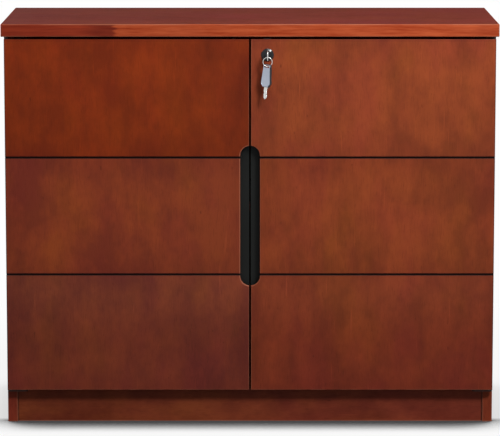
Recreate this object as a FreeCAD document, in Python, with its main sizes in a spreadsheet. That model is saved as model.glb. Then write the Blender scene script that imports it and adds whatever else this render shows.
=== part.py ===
import FreeCAD, Part
import math
import os
import Sketcher

os.makedirs("parts", exist_ok=True)

# Low two-door printer cabinet. The doors face -Y, the origin is on the floor below the middle.
DIMENSIONS = {
    # Carcass
    "overall_height": 800,
    "top_width": 980,
    "top_depth": 400,
    "top_thickness": 25,
    "top_edge_round": 1.6,
    "top_overhang": 5,
    "side_thickness": 19,
    "bottom_thickness": 19,
    "plinth_height": 70,
    "plinth_thickness": 19,
    "plinth_recess": 4,
    "back_thickness": 6,
    "back_inset": 10,
    "back_groove_depth": 7,
    "back_slack": 0.5,
    # Shelf
    "shelf_thickness": 19,
    "shelf_height": 422,
    "shelf_side_gap": 1,
    "shelf_front_setback": 20,
    "shelf_back_gap": 1,
    "shelf_pin_radius": 2.5,
    "shelf_pin_length": 16,
    "shelf_pin_depth": 8,
    "shelf_pin_inset": 50,
    "shelf_hole_pitch": 32,
    "shelf_hole_steps": 4,
    "shelf_hole_slack": 0.1,
    # Board fasteners
    "dowel_radius": 4,
    "dowel_length": 30,
    "dowel_depth": 10,
    "joint_inset": 60,
    "cam_spacing": 40,
    "cam_radius": 7.5,
    "cam_depth": 13,
    "cam_reach": 24,
    "cam_bolt_radius": 3,
    "cam_bolt_depth": 11,
    # Doors
    "door_thickness": 19,
    "door_setback": 2,
    "door_back_gap": 2,
    "door_top_gap": 5,
    "door_bottom_drop": 2,
    "door_side_reveal": 1,
    "door_meeting_gap": 3,
    "door_edge_round": 1.4,
    "groove_width": 2.6,
    "groove_depth": 4.5,
    "groove_lip": 0.8,
    "bumper_radius": 4.5,
    "bumper_gap": 0.3,
    "bumper_inset": 30,
    # Recessed handle, split between the doors
    "handle_height": 280,
    "handle_radius": 19.4,
    "handle_lip": 6,
    "handle_undercut": 8,
    "insert_wall": 2,
    "insert_floor": 2.5,
    "insert_flange": 9,
    "insert_slack": 0.2,
    # Door pivots
    "pivot_inset": 5.5,
    "pivot_radius": 2.5,
    "pivot_slack": 0.05,
    "pivot_pin_reach": 12,
    "pivot_plate_thickness": 3,
    "pivot_plate_width": 14,
    "pivot_plate_length": 52,
    "pivot_tip": 5.4,
    "bracket_tip_round": 4.8,
    "pivot_bore_slack": 0.8,
    "pivot_washer": 1,
    "pivot_washer_radius": 5.2,
    "leaf_width": 12,
    "leaf_length": 48,
    "bracket_width": 22,
    "bracket_drop": 34,
    "bracket_length": 44,
    "bracket_slack": 1,
    # Lock
    "lock_inset": 33,
    "lock_below_top": 30.5,
    "bezel_radius": 12.5,
    "bezel_height": 3.5,
    "bezel_round": 1.6,
    "barrel_radius": 9.25,
    "barrel_slack": 0.25,
    "plug_radius": 6.5,
    "plug_slack": 0.05,
    "plug_proud": 0.6,
    "key_slot_width": 2.2,
    "key_slot_height": 9,
    "cam_disc_radius": 9.5,
    "cam_disc_thickness": 2.5,
    "drive_pin_radius": 1.5,
    "drive_pin_offset": 7,
    "drive_slack": 0.4,
    "case_width": 40,
    "case_below": 26,
    "case_above": 27,
    "case_wall": 1.5,
    "case_gap": 0.3,
    "bolt_width": 24,
    "bolt_tongue": 16,
    "bolt_thickness": 6,
    "bolt_shoulder": 6,
    "bolt_below": 15,
    "bolt_rest_gap": 5,
    "mortise_slack": 0.8,
    "mortise_depth": 8,
    "strike_thickness": 1.5,
    "strike_width": 44,
    "strike_depth": 18,
    # Surface bolt of the left door
    "slide_inset": 30,
    "slide_radius": 4,
    "slide_slack": 0.3,
    "slide_length": 86,
    "slide_rest_gap": 5,
    "slide_stand": 8,
    "guide_plate": 1.5,
    "guide_width": 24,
    "guide_length": 66,
    "guide_top_gap": 12,
    "guide_block": 9,
    "guide_wall": 3,
    "knob_radius": 2.5,
    "knob_length": 13,
    # Keys
    "key_thickness": 2,
    "key_bow_height": 19.4,
    "key_bow_length": 23,
    "key_bow_stand": 11,
    "key_bow_round": 6,
    "key_shank_height": 8.5,
    "key_shank_depth": 20,
    "key_hole_radius": 2.8,
    "key_hole_inset": 10,
    "key_hole_drop": 1.2,
    "ring_radius": 9,
    "ring_wire": 0.8,
    "ring_seat": 0.3,
    "spare_turn": 35,
    "spare_top": 4.3,
    "spare_head_length": 45,
    "spare_lean": 4.5,
    "spare_head_top": 17,
    "spare_head_bottom": 24,
    "spare_head_waist": 39,
    "spare_shoulder": 3,
    "spare_neck": 17,
    "spare_head_thickness": 3.6,
    "spare_head_round": 1.6,
    "spare_slot_width": 13,
    "spare_slot_height": 4.4,
    "spare_slot_top": 2.3,
    "spare_plate_thickness": 0.6,
    "spare_plate_margin": 0.8,
    "spare_blade_length": 24,
    "spare_blade_width": 8.5,
    "spare_blade_root": 14,
    # Screws of the hardware
    "screw_head": 3.2,
    "screw_shank": 1.6,
    "screw_length": 14,
    "screw_edge": 6,
}

doc = FreeCAD.newDocument("printer_cabinet")
sheet = doc.addObject("Spreadsheet::Sheet", "dims")
for row, (alias, size) in enumerate(DIMENSIONS.items(), start=1):
    sheet.set(f"A{row}", alias)
    sheet.set(f"B{row}", str(size))
    sheet.setAlias(f"B{row}", alias)
doc.recompute()


class Size:
    """A length written as a sheet expression, so that sums of sizes stay bound to the sheet."""

    def __init__(self, text):
        self.text = text

    def __str__(self):
        return self.text

    def __float__(self):
        return float(sheet.evalExpression(self.text))

    def __neg__(self):
        return Size(f"(0 - {self})")

    def __add__(self, other):
        return Size(f"({self} + {other})")

    def __sub__(self, other):
        return Size(f"({self} - {other})")

    def __mul__(self, other):
        return Size(f"({self} * {other})")

    def __truediv__(self, other):
        return Size(f"({self} / {other})")

    __radd__ = __add__
    __rmul__ = __mul__


class Sizes:
    """The sheet's cells by name."""

    def __getattr__(self, name):
        if name not in DIMENSIONS:
            raise AttributeError(name)
        return Size(f"dims.{name}")


dim = Sizes()
ZERO = Size("0")

# Places that several pieces share
TOP_FRONT = -dim.top_depth / 2
TOP_BACK = dim.top_depth / 2
UNDERSIDE = dim.overall_height - dim.top_thickness
DOOR_FRONT = TOP_FRONT + dim.door_setback
DOOR_BACK = DOOR_FRONT + dim.door_thickness
CARCASS_FRONT = DOOR_BACK + dim.door_back_gap
SIDE_OUTER = dim.top_width / 2 - dim.top_overhang
SIDE_INNER = SIDE_OUTER - dim.side_thickness
SIDE_MIDDLE = SIDE_OUTER - dim.side_thickness / 2
BOTTOM_TOP = dim.plinth_height + dim.bottom_thickness
BOTTOM_MIDDLE = dim.plinth_height + dim.bottom_thickness / 2
BACK_FRONT = TOP_BACK - dim.back_inset - dim.back_thickness
BACK_ENTRY = dim.back_groove_depth - dim.back_slack
SHELF_UNDER = dim.shelf_height
DOOR_TOP = UNDERSIDE - dim.door_top_gap
DOOR_BOTTOM = dim.plinth_height - dim.door_bottom_drop
DOOR_MIDDLE = (DOOR_TOP + DOOR_BOTTOM) / 2
DOOR_INNER = dim.door_meeting_gap / 2
DOOR_OUTER = SIDE_OUTER - dim.door_side_reveal
PIVOT_X = DOOR_OUTER - dim.pivot_inset
PIVOT_Y = DOOR_BACK - dim.door_thickness / 2
PLINTH_FRONT = CARCASS_FRONT + dim.plinth_recess
PLINTH_BACK = PLINTH_FRONT + dim.plinth_thickness
RAIL_FRONT = TOP_BACK - dim.plinth_thickness
LOCK_X = DOOR_INNER + dim.lock_inset
LOCK_Z = DOOR_TOP - dim.lock_below_top
JOINT_YS = (CARCASS_FRONT + dim.joint_inset, TOP_BACK - dim.joint_inset)
CAM_YS = (JOINT_YS[0] + dim.cam_spacing, JOINT_YS[1] - dim.cam_spacing)
SIDES = {"left": -1, "right": 1}
# How near two places are that count as one, in millimetres
TOUCH = 1e-3

TURNS = {
    "X": FreeCAD.Rotation(FreeCAD.Vector(0, 1, 0), 90),
    "-X": FreeCAD.Rotation(FreeCAD.Vector(0, 1, 0), -90),
    "Y": FreeCAD.Rotation(FreeCAD.Vector(1, 0, 0), -90),
    "-Y": FreeCAD.Rotation(FreeCAD.Vector(1, 0, 0), 90),
    "Z": FreeCAD.Rotation(),
    "-Z": FreeCAD.Rotation(FreeCAD.Vector(1, 0, 0), 180),
}

sub_parts = []


def keep(label, piece):
    """Name a finished sub-part."""
    piece.Label = label
    sub_parts.append(piece)
    return piece


def bind(target, path, size):
    target.setExpression(path, str(size))


def move_to(piece, place):
    for axis, size in zip("xyz", place):
        bind(piece, f"Placement.Base.{axis}", size)


def block(name, low, high):
    """Box between two corners."""
    piece = doc.addObject("Part::Box", name)
    for side, start, end in zip(("Length", "Width", "Height"), low, high):
        bind(piece, side, end - start)
    move_to(piece, low)
    return piece


def rod(name, start, radius, length, along):
    """Cylinder from a point along a signed axis."""
    piece = doc.addObject("Part::Cylinder", name)
    piece.Placement.Rotation = TURNS[along]
    bind(piece, "Radius", radius)
    bind(piece, "Height", length)
    move_to(piece, start)
    return piece


def join(name, pieces):
    piece = doc.addObject("Part::MultiFuse", name)
    piece.Shapes = pieces
    return piece


def group(name, pieces):
    """Separate solids kept together as one sub-part."""
    piece = doc.addObject("Part::Compound", name)
    piece.Links = pieces
    return piece


def carve(name, base, tools):
    piece = doc.addObject("Part::Cut", name)
    piece.Base = base
    piece.Tool = group(f"{name}_cutters", tools)
    return piece


def screw(name, head, along):
    """Countersunk screw whose head is flush at a point, driven along a signed axis."""
    cone = doc.addObject("Part::Cone", f"{name}_head")
    cone.Placement.Rotation = TURNS[along]
    bind(cone, "Radius1", dim.screw_head)
    bind(cone, "Radius2", dim.screw_shank)
    bind(cone, "Height", dim.screw_head - dim.screw_shank)
    move_to(cone, head)
    return join(name, [cone, rod(f"{name}_shank", head, dim.screw_shank, dim.screw_length, along)])


def sketch_on(body, role, at):
    """Sketch on one of a body's own planes, moved to a place along its axis."""
    sketch = body.newObject("Sketcher::SketchObject", "outline")
    plane = next(feature for feature in body.Origin.OriginFeatures if feature.Role == role)
    sketch.AttachmentSupport = (plane, [""])
    sketch.MapMode = "FlatFace"
    bind(sketch, "AttachmentOffset.Base.z", -at if role == "XZ_Plane" else at)
    return sketch


def constrain(sketch, kind, geometry, point, size):
    """Tie a point's coordinate, or a radius when point is None, to a size."""
    where = (geometry,) if point is None else (geometry, point)
    index = sketch.addConstraint(Sketcher.Constraint(kind, *where, float(size)))
    sketch.renameConstraint(index, f"size_{index}")
    bind(sketch, f"Constraints.size_{index}", size)


def polygon(sketch, corners):
    first = sketch.GeometryCount
    count = len(corners)
    points = [FreeCAD.Vector(float(x), float(y), 0) for x, y in corners]
    for i in range(count):
        sketch.addGeometry(Part.LineSegment(points[i], points[(i + 1) % count]), False)
    for i in range(count):
        sketch.addConstraint(Sketcher.Constraint("Coincident", first + i, 2, first + (i + 1) % count, 1))
    for i, (x, y) in enumerate(corners):
        constrain(sketch, "DistanceX", first + i, 1, x)
        constrain(sketch, "DistanceY", first + i, 1, y)


def rectangle(sketch, low, high):
    polygon(sketch, [low, (high[0], low[1]), high, (low[0], high[1])])


def circle(sketch, x, y, radius):
    index = sketch.GeometryCount
    centre = FreeCAD.Vector(float(x), float(y), 0)
    sketch.addGeometry(Part.Circle(centre, FreeCAD.Vector(0, 0, 1), float(radius)), False)
    constrain(sketch, "DistanceX", index, 3, x)
    constrain(sketch, "DistanceY", index, 3, y)
    constrain(sketch, "Radius", index, None, radius)


def stadium(sketch, y, half_height, radius):
    """Upright outline with round ends, centred across the cabinet's middle."""
    first = sketch.GeometryCount
    reach = float(radius)
    top = float(y + half_height - radius)
    low = float(y - half_height + radius)
    axis = FreeCAD.Vector(0, 0, 1)
    upper = Part.Circle(FreeCAD.Vector(0, top, 0), axis, reach)
    lower = Part.Circle(FreeCAD.Vector(0, low, 0), axis, reach)
    sketch.addGeometry(Part.ArcOfCircle(upper, 0, math.pi), False)
    sketch.addGeometry(Part.ArcOfCircle(lower, math.pi, 2 * math.pi), False)
    for x in (-reach, reach):
        sketch.addGeometry(Part.LineSegment(FreeCAD.Vector(x, top, 0), FreeCAD.Vector(x, low, 0)), False)
    for side, arc_ends in ((2, (2, 1)), (3, (1, 2))):
        for arc, arc_end, line_end in ((0, arc_ends[0], 1), (1, arc_ends[1], 2)):
            sketch.addConstraint(
                Sketcher.Constraint("Tangent", first + arc, arc_end, first + side, line_end))
    constrain(sketch, "DistanceX", first, 3, ZERO)
    constrain(sketch, "DistanceY", first, 3, y + half_height - radius)
    constrain(sketch, "DistanceX", first + 1, 3, ZERO)
    constrain(sketch, "DistanceY", first + 1, 3, y - half_height + radius)
    constrain(sketch, "Radius", first, None, radius)


def new_body(name):
    return doc.addObject("PartDesign::Body", name)


def extrude(body, sketch, length, flip=False):
    feature = body.newObject("PartDesign::Pad", "pad")
    feature.Profile = sketch
    feature.Reversed = flip
    bind(feature, "Length", length)
    return feature


def hollow(body, sketch, length, flip=False):
    """Pocket that has to take material away."""
    doc.recompute()
    before = body.Shape.Volume
    feature = body.newObject("PartDesign::Pocket", "pocket")
    feature.Profile = sketch
    feature.Reversed = flip
    bind(feature, "Length", length)
    doc.recompute()
    if body.Shape.Volume >= before:
        raise RuntimeError(f"a pocket of {body.Name} cuts nothing")
    return feature


def round_edges(body, base, wanted, radius):
    """Fillet the edges of a feature that pass a test."""
    doc.recompute()
    names = [f"Edge{i}" for i, edge in enumerate(base.Shape.Edges, start=1) if wanted(edge)]
    feature = body.newObject("PartDesign::Fillet", "fillet")
    feature.Base = (base, names)
    bind(feature, "Radius", radius)
    return feature


def edge_at(axis, place):
    """Test for edges that lie in a plane square to an axis."""
    level = float(place)

    def lies_there(edge):
        box = edge.BoundBox
        low = getattr(box, f"{axis}Min")
        high = getattr(box, f"{axis}Max")
        return abs(low - level) < TOUCH and abs(high - level) < TOUCH

    return lies_there


def upright_at(axis, corners):
    """Test for straight edges along an axis through one of some corners of a sketch."""
    others = [name for name in "XYZ" if name != axis]
    places = [(float(a), float(b)) for a, b in corners]

    def stands_there(edge):
        box = edge.BoundBox
        spans = [getattr(box, f"{name}Length") for name in others]
        if max(spans) > TOUCH:
            return False
        at = [getattr(box, f"{name}Min") for name in others]
        return any(abs(at[0] - a) < TOUCH and abs(at[1] - b) < TOUCH for a, b in places)

    return stands_there


# Fasteners of the boards come first, because the boards are bored with them
def board_fasteners():
    dowels = []
    cams = []
    bolts = []
    bolt_start = dim.cam_reach - dim.cam_radius
    bolt_length = bolt_start + dim.cam_bolt_depth
    dowel_back = dim.dowel_length - dim.dowel_depth
    for sign in SIDES.values():
        outward = "X" if sign > 0 else "-X"
        for y in JOINT_YS:
            place = (SIDE_MIDDLE * sign, y, UNDERSIDE - dowel_back)
            dowels.append(rod("dowel", place, dim.dowel_radius, dim.dowel_length, "Z"))
            place = ((SIDE_INNER - dowel_back) * sign, y, BOTTOM_MIDDLE)
            dowels.append(rod("dowel", place, dim.dowel_radius, dim.dowel_length, outward))
        for y in CAM_YS:
            place = (SIDE_INNER * sign, y, UNDERSIDE - dim.cam_reach)
            cams.append(rod("cam", place, dim.cam_radius, dim.cam_depth, outward))
            place = (SIDE_MIDDLE * sign, y, UNDERSIDE - bolt_start)
            bolts.append(rod("cam_bolt", place, dim.cam_bolt_radius, bolt_length, "Z"))
            place = ((SIDE_INNER - dim.cam_reach) * sign, y, dim.plinth_height)
            cams.append(rod("cam", place, dim.cam_radius, dim.cam_depth, "Z"))
            place = ((SIDE_INNER - bolt_start) * sign, y, BOTTOM_MIDDLE)
            bolts.append(rod("cam_bolt", place, dim.cam_bolt_radius, bolt_length, outward))
        for y in (PLINTH_BACK - dim.plinth_thickness / 2, RAIL_FRONT + dim.plinth_thickness / 2):
            place = ((SIDE_INNER - dowel_back) * sign, y, dim.plinth_height / 2)
            dowels.append(rod("dowel", place, dim.dowel_radius, dim.dowel_length, outward))
    for place, along in ((PLINTH_BACK + dowel_back, "-Y"), (RAIL_FRONT - dowel_back, "Y")):
        start = (ZERO, place, dim.plinth_height / 2)
        dowels.append(rod("dowel", start, dim.dowel_radius, dim.dowel_length, along))
    keep("carcass_dowels", group("carcass_dowels", dowels))
    keep("cam_fasteners", group("cam_fasteners", cams))
    keep("cam_bolts", group("cam_bolts", bolts))
    return dowels + cams + bolts


def pivot_plate_corners(sign):
    """Outline of the plate that is let into the top panel above a door's outer corner."""
    half = dim.pivot_plate_width / 2
    inner = (PIVOT_X + dim.pivot_tip - dim.pivot_plate_length) * sign
    outer = (PIVOT_X + dim.pivot_tip) * sign
    return (inner, PIVOT_Y - half), (outer, PIVOT_Y + half)


def leaf_corners(sign):
    """Outline of the leaf that is let into a door edge."""
    half = dim.leaf_width / 2
    inner = (DOOR_OUTER - dim.leaf_length) * sign
    return (inner, PIVOT_Y - half), (DOOR_OUTER * sign, PIVOT_Y + half)


def plate_screw_xs(sign):
    """Screws of a pivot plate, and of the leaf that faces it."""
    first = PIVOT_X - dim.pivot_pin_reach
    return [first * sign, (first - dim.pivot_plate_length / 2 + dim.screw_edge) * sign]


def strike_xs():
    return {"lock_strike": LOCK_X, "bolt_strike": -(DOOR_INNER + dim.slide_inset)}


LOCK_BOLT_Y = DOOR_BACK + dim.cam_disc_thickness + dim.case_gap * 2 + dim.bolt_thickness / 2
SLIDE_Y = DOOR_BACK + dim.slide_stand
STRIKE_YS = {"lock_strike": LOCK_BOLT_Y, "bolt_strike": SLIDE_Y}


def carcass_screws():
    """Screws of the top pivots, the bottom brackets and the strike plates."""
    screws = []
    for sign in SIDES.values():
        for x in plate_screw_xs(sign):
            screws.append(screw("pivot_screw", (x, PIVOT_Y, UNDERSIDE), "Z"))
        outward = "X" if sign > 0 else "-X"
        x = (SIDE_INNER - dim.pivot_plate_thickness) * sign
        for step in (dim.screw_edge * 2, dim.bracket_length - dim.screw_edge * 2):
            place = (x, PLINTH_BACK + dim.bracket_slack + step, bracket_top() - dim.bracket_drop / 2)
            screws.append(screw("bracket_screw", place, outward))
    for name, middle in strike_xs().items():
        reach = dim.strike_width / 2 - dim.screw_edge
        for sign in SIDES.values():
            screws.append(screw("strike_screw", (middle + reach * sign, STRIKE_YS[name], UNDERSIDE), "Z"))
    keep("carcass_screws", group("carcass_screws", screws))
    return screws


def bracket_top():
    return DOOR_BOTTOM - dim.pivot_washer


def top_panel(cutters):
    body = new_body("top_board")
    outline = sketch_on(body, "XY_Plane", UNDERSIDE)
    half = dim.top_width / 2
    rectangle(outline, (-half, TOP_FRONT), (half, TOP_BACK))
    board = extrude(body, outline, dim.top_thickness)
    round_edges(body, board, lambda edge: True, dim.top_edge_round)
    groove = sketch_on(body, "XY_Plane", UNDERSIDE)
    slack = dim.back_slack / 2
    reach = SIDE_INNER + dim.back_groove_depth
    rectangle(groove, (-reach, BACK_FRONT - slack), (reach, TOP_BACK - dim.back_inset + slack))
    hollow(body, groove, dim.back_groove_depth, True)
    recesses = sketch_on(body, "XY_Plane", UNDERSIDE)
    for sign in SIDES.values():
        rectangle(recesses, *pivot_plate_corners(sign))
    hollow(body, recesses, dim.pivot_plate_thickness, True)
    strikes = sketch_on(body, "XY_Plane", UNDERSIDE)
    for name, x in strike_xs().items():
        rectangle(strikes, *strike_corners(name, x))
    hollow(body, strikes, dim.strike_thickness, True)
    mortises = sketch_on(body, "XY_Plane", UNDERSIDE)
    for name, x in strike_xs().items():
        rectangle(mortises, *mortise_corners(name, x))
    hollow(body, mortises, dim.mortise_depth, True)
    keep("top_panel", carve("top_panel", body, cutters))


def strike_corners(name, x):
    half_width = dim.strike_width / 2
    half_depth = dim.strike_depth / 2
    y = STRIKE_YS[name]
    return (x - half_width, y - half_depth), (x + half_width, y + half_depth)


def mortise_corners(name, x):
    """Opening that a bolt enters, in its strike plate and in the top panel above it."""
    if name == "lock_strike":
        half_width = dim.bolt_tongue / 2 + dim.mortise_slack
        half_depth = dim.bolt_thickness / 2 + dim.mortise_slack
    else:
        half_width = dim.slide_radius + dim.mortise_slack
        half_depth = half_width
    y = STRIKE_YS[name]
    return (x - half_width, y - half_depth), (x + half_width, y + half_depth)


def strike_plates(cutters):
    for name, x in strike_xs().items():
        body = new_body(f"{name}_plate")
        outline = sketch_on(body, "XY_Plane", UNDERSIDE)
        rectangle(outline, *strike_corners(name, x))
        rectangle(outline, *mortise_corners(name, x))
        extrude(body, outline, dim.strike_thickness)
        keep(name, carve(name, body, cutters))


def side_panels(cutters):
    for side, sign in SIDES.items():
        body = new_body(f"{side}_board")
        outline = sketch_on(body, "YZ_Plane", SIDE_INNER * sign)
        rectangle(outline, (CARCASS_FRONT, ZERO), (TOP_BACK, UNDERSIDE))
        extrude(body, outline, dim.side_thickness, sign < 0)
        groove = sketch_on(body, "YZ_Plane", SIDE_INNER * sign)
        slack = dim.back_slack / 2
        rectangle(groove, (BACK_FRONT - slack, BOTTOM_TOP - dim.back_groove_depth),
                  (TOP_BACK - dim.back_inset + slack, UNDERSIDE))
        hollow(body, groove, dim.back_groove_depth, sign > 0)
        holes = sketch_on(body, "YZ_Plane", SIDE_INNER * sign)
        steps = DIMENSIONS["shelf_hole_steps"]
        for y in shelf_pin_ys():
            for step in range(-steps, steps + 1):
                level = SHELF_UNDER - dim.shelf_pin_radius + dim.shelf_hole_pitch * step
                circle(holes, y, level, dim.shelf_pin_radius + dim.shelf_hole_slack)
        hollow(body, holes, dim.shelf_pin_depth + dim.shelf_hole_slack, sign > 0)
        keep(f"{side}_side_panel", carve(f"{side}_side_panel", body, cutters))


def bottom_panel(cutters):
    body = new_body("bottom_board")
    outline = sketch_on(body, "XY_Plane", dim.plinth_height)
    rectangle(outline, (-SIDE_INNER, CARCASS_FRONT), (SIDE_INNER, TOP_BACK))
    extrude(body, outline, dim.bottom_thickness)
    groove = sketch_on(body, "XY_Plane", BOTTOM_TOP)
    slack = dim.back_slack / 2
    rectangle(groove, (-SIDE_INNER, BACK_FRONT - slack), (SIDE_INNER, TOP_BACK - dim.back_inset + slack))
    hollow(body, groove, dim.back_groove_depth)
    keep("bottom_panel", carve("bottom_panel", body, cutters))


def back_panel():
    low = (-SIDE_INNER - BACK_ENTRY, BACK_FRONT, BOTTOM_TOP - BACK_ENTRY)
    high = (SIDE_INNER + BACK_ENTRY, TOP_BACK - dim.back_inset, UNDERSIDE + BACK_ENTRY)
    keep("back_panel", block("back_panel", low, high))


def shelf_pin_ys():
    return CARCASS_FRONT + dim.shelf_pin_inset, BACK_FRONT - dim.shelf_pin_inset


def shelf():
    half = SIDE_INNER - dim.shelf_side_gap
    low = (-half, CARCASS_FRONT + dim.shelf_front_setback, SHELF_UNDER)
    high = (half, BACK_FRONT - dim.shelf_back_gap, SHELF_UNDER + dim.shelf_thickness)
    keep("shelf", block("shelf", low, high))
    pins = []
    for sign in SIDES.values():
        for y in shelf_pin_ys():
            outward = "X" if sign > 0 else "-X"
            start = (SIDE_INNER + dim.shelf_pin_depth - dim.shelf_pin_length) * sign
            place = (start, y, SHELF_UNDER - dim.shelf_pin_radius)
            pins.append(rod("shelf_pin", place, dim.shelf_pin_radius, dim.shelf_pin_length, outward))
    keep("shelf_pins", group("shelf_pins", pins))


def plinth(cutters):
    body = new_body("plinth_board")
    outline = sketch_on(body, "XZ_Plane", PLINTH_FRONT)
    notch_x = SIDE_INNER - dim.bracket_width - dim.bracket_slack
    notch_z = bracket_top() - dim.pivot_plate_thickness - dim.bracket_slack
    polygon(outline, [
        (-SIDE_INNER, ZERO), (SIDE_INNER, ZERO), (SIDE_INNER, notch_z), (notch_x, notch_z),
        (notch_x, dim.plinth_height), (-notch_x, dim.plinth_height), (-notch_x, notch_z),
        (-SIDE_INNER, notch_z)])
    extrude(body, outline, dim.plinth_thickness, True)
    keep("plinth_front", carve("plinth_front", body, cutters))
    rail = block("rail_board", (-SIDE_INNER, RAIL_FRONT, ZERO), (SIDE_INNER, TOP_BACK, dim.plinth_height))
    keep("plinth_rear", carve("plinth_rear", rail, cutters))
    half = dim.plinth_thickness / 2
    brace = block("brace_board", (-half, PLINTH_BACK, ZERO), (half, RAIL_FRONT, dim.plinth_height))
    keep("plinth_brace", carve("plinth_brace", brace, cutters))


def door_pivots(cutters, door_cutters):
    washers = []
    for side, sign in SIDES.items():
        x = PIVOT_X * sign
        body = new_body(f"{side}_top_plate")
        outline = sketch_on(body, "XY_Plane", UNDERSIDE)
        rectangle(outline, *pivot_plate_corners(sign))
        extrude(body, outline, dim.pivot_plate_thickness)
        pin = sketch_on(body, "XY_Plane", UNDERSIDE)
        circle(pin, x, PIVOT_Y, dim.pivot_radius)
        extrude(body, pin, dim.door_top_gap + dim.pivot_pin_reach, True)
        keep(f"{side}_top_pivot", carve(f"{side}_top_pivot", body, cutters))

        body = new_body(f"{side}_bracket")
        outline = sketch_on(body, "XY_Plane", bracket_top() - dim.pivot_plate_thickness)
        inner = (SIDE_INNER - dim.bracket_width) * sign
        wall = SIDE_INNER * sign
        tip = (PIVOT_X + dim.pivot_tip) * sign
        rear = PLINTH_BACK + dim.bracket_slack + dim.bracket_length
        corners = [
            (inner, PIVOT_Y - dim.pivot_tip), (tip, PIVOT_Y - dim.pivot_tip), (tip, PIVOT_Y + dim.pivot_tip),
            (wall, PIVOT_Y + dim.pivot_tip), (wall, rear), (inner, rear)]
        polygon(outline, corners)
        plate = extrude(body, outline, dim.pivot_plate_thickness)
        rounded = round_edges(body, plate, upright_at("Z", corners[1:3]), dim.bracket_tip_round)
        round_edges(body, rounded, upright_at("Z", [corners[0], corners[5]]), dim.screw_edge)
        flange = sketch_on(body, "YZ_Plane", wall)
        top = bracket_top()
        rectangle(flange, (PLINTH_BACK + dim.bracket_slack, top - dim.bracket_drop), (rear, top))
        extrude(body, flange, dim.pivot_plate_thickness, sign > 0)
        pin = sketch_on(body, "XY_Plane", top)
        circle(pin, x, PIVOT_Y, dim.pivot_radius)
        extrude(body, pin, dim.pivot_washer + dim.pivot_pin_reach)
        keep(f"{side}_bottom_pivot", carve(f"{side}_bottom_pivot", body, cutters))

        place = (x, PIVOT_Y, top)
        washer = rod("washer_disc", place, dim.pivot_washer_radius, dim.pivot_washer, "Z")
        hole = rod("washer_hole", place, dim.pivot_radius + dim.pivot_slack, dim.pivot_washer, "Z")
        washers.append(carve(f"{side}_washer", washer, [hole]))

        for name, low, high in (
                ("top", DOOR_TOP - dim.pivot_plate_thickness, DOOR_TOP),
                ("bottom", DOOR_BOTTOM, DOOR_BOTTOM + dim.pivot_plate_thickness)):
            body = new_body(f"{side}_{name}_strip")
            outline = sketch_on(body, "XY_Plane", low)
            rectangle(outline, *leaf_corners(sign))
            circle(outline, x, PIVOT_Y, dim.pivot_radius + dim.pivot_slack)
            extrude(body, outline, high - low)
            keep(f"{side}_{name}_leaf", carve(f"{side}_{name}_leaf", body, door_cutters[side]))
    keep("pivot_washers", group("pivot_washers", washers))


GUIDE_TOP = DOOR_TOP - dim.guide_top_gap
GUIDE_LOW = GUIDE_TOP - dim.guide_length
CASE_TOP = LOCK_Z + dim.case_above
CASE_LOW = LOCK_Z - dim.case_below
CASE_BACK = LOCK_BOLT_Y + dim.bolt_thickness / 2 + dim.case_gap


def door_screws():
    """Screws of the leaves, the handle inserts, the lock case and the surface bolt."""
    screws = {side: [] for side in SIDES}
    for side, sign in SIDES.items():
        for x in plate_screw_xs(sign):
            screws[side].append(screw("leaf_screw", (x, PIVOT_Y, DOOR_TOP), "-Z"))
            screws[side].append(screw("leaf_screw", (x, PIVOT_Y, DOOR_BOTTOM), "Z"))
        x = (insert_radius() + dim.insert_flange / 2) * sign
        reach = dim.handle_height / 2 - dim.handle_radius
        for z in (DOOR_MIDDLE - reach, DOOR_MIDDLE, DOOR_MIDDLE + reach):
            screws[side].append(screw("insert_screw", (x, DOOR_BACK, z), "-Y"))
    middle = -(DOOR_INNER + dim.slide_inset)
    reach = dim.guide_width / 2 - dim.screw_edge / 2 - dim.screw_shank
    for sign in SIDES.values():
        for z in (GUIDE_TOP - dim.guide_length / 3, GUIDE_LOW + dim.guide_length / 3):
            place = (middle + reach * sign, DOOR_BACK + dim.guide_plate, z)
            screws["left"].append(screw("guide_screw", place, "-Y"))
        ear = dim.case_width / 2 + dim.screw_edge
        place = (LOCK_X + ear * sign, DOOR_BACK + dim.case_wall, LOCK_Z)
        screws["right"].append(screw("case_screw", place, "-Y"))
    for side in SIDES:
        keep(f"{side}_door_screws", group(f"{side}_door_screws", screws[side]))
    return screws


def insert_radius():
    """Outer radius of the tray behind the handle's opening."""
    return dim.handle_radius + dim.handle_undercut + dim.insert_wall


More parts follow.
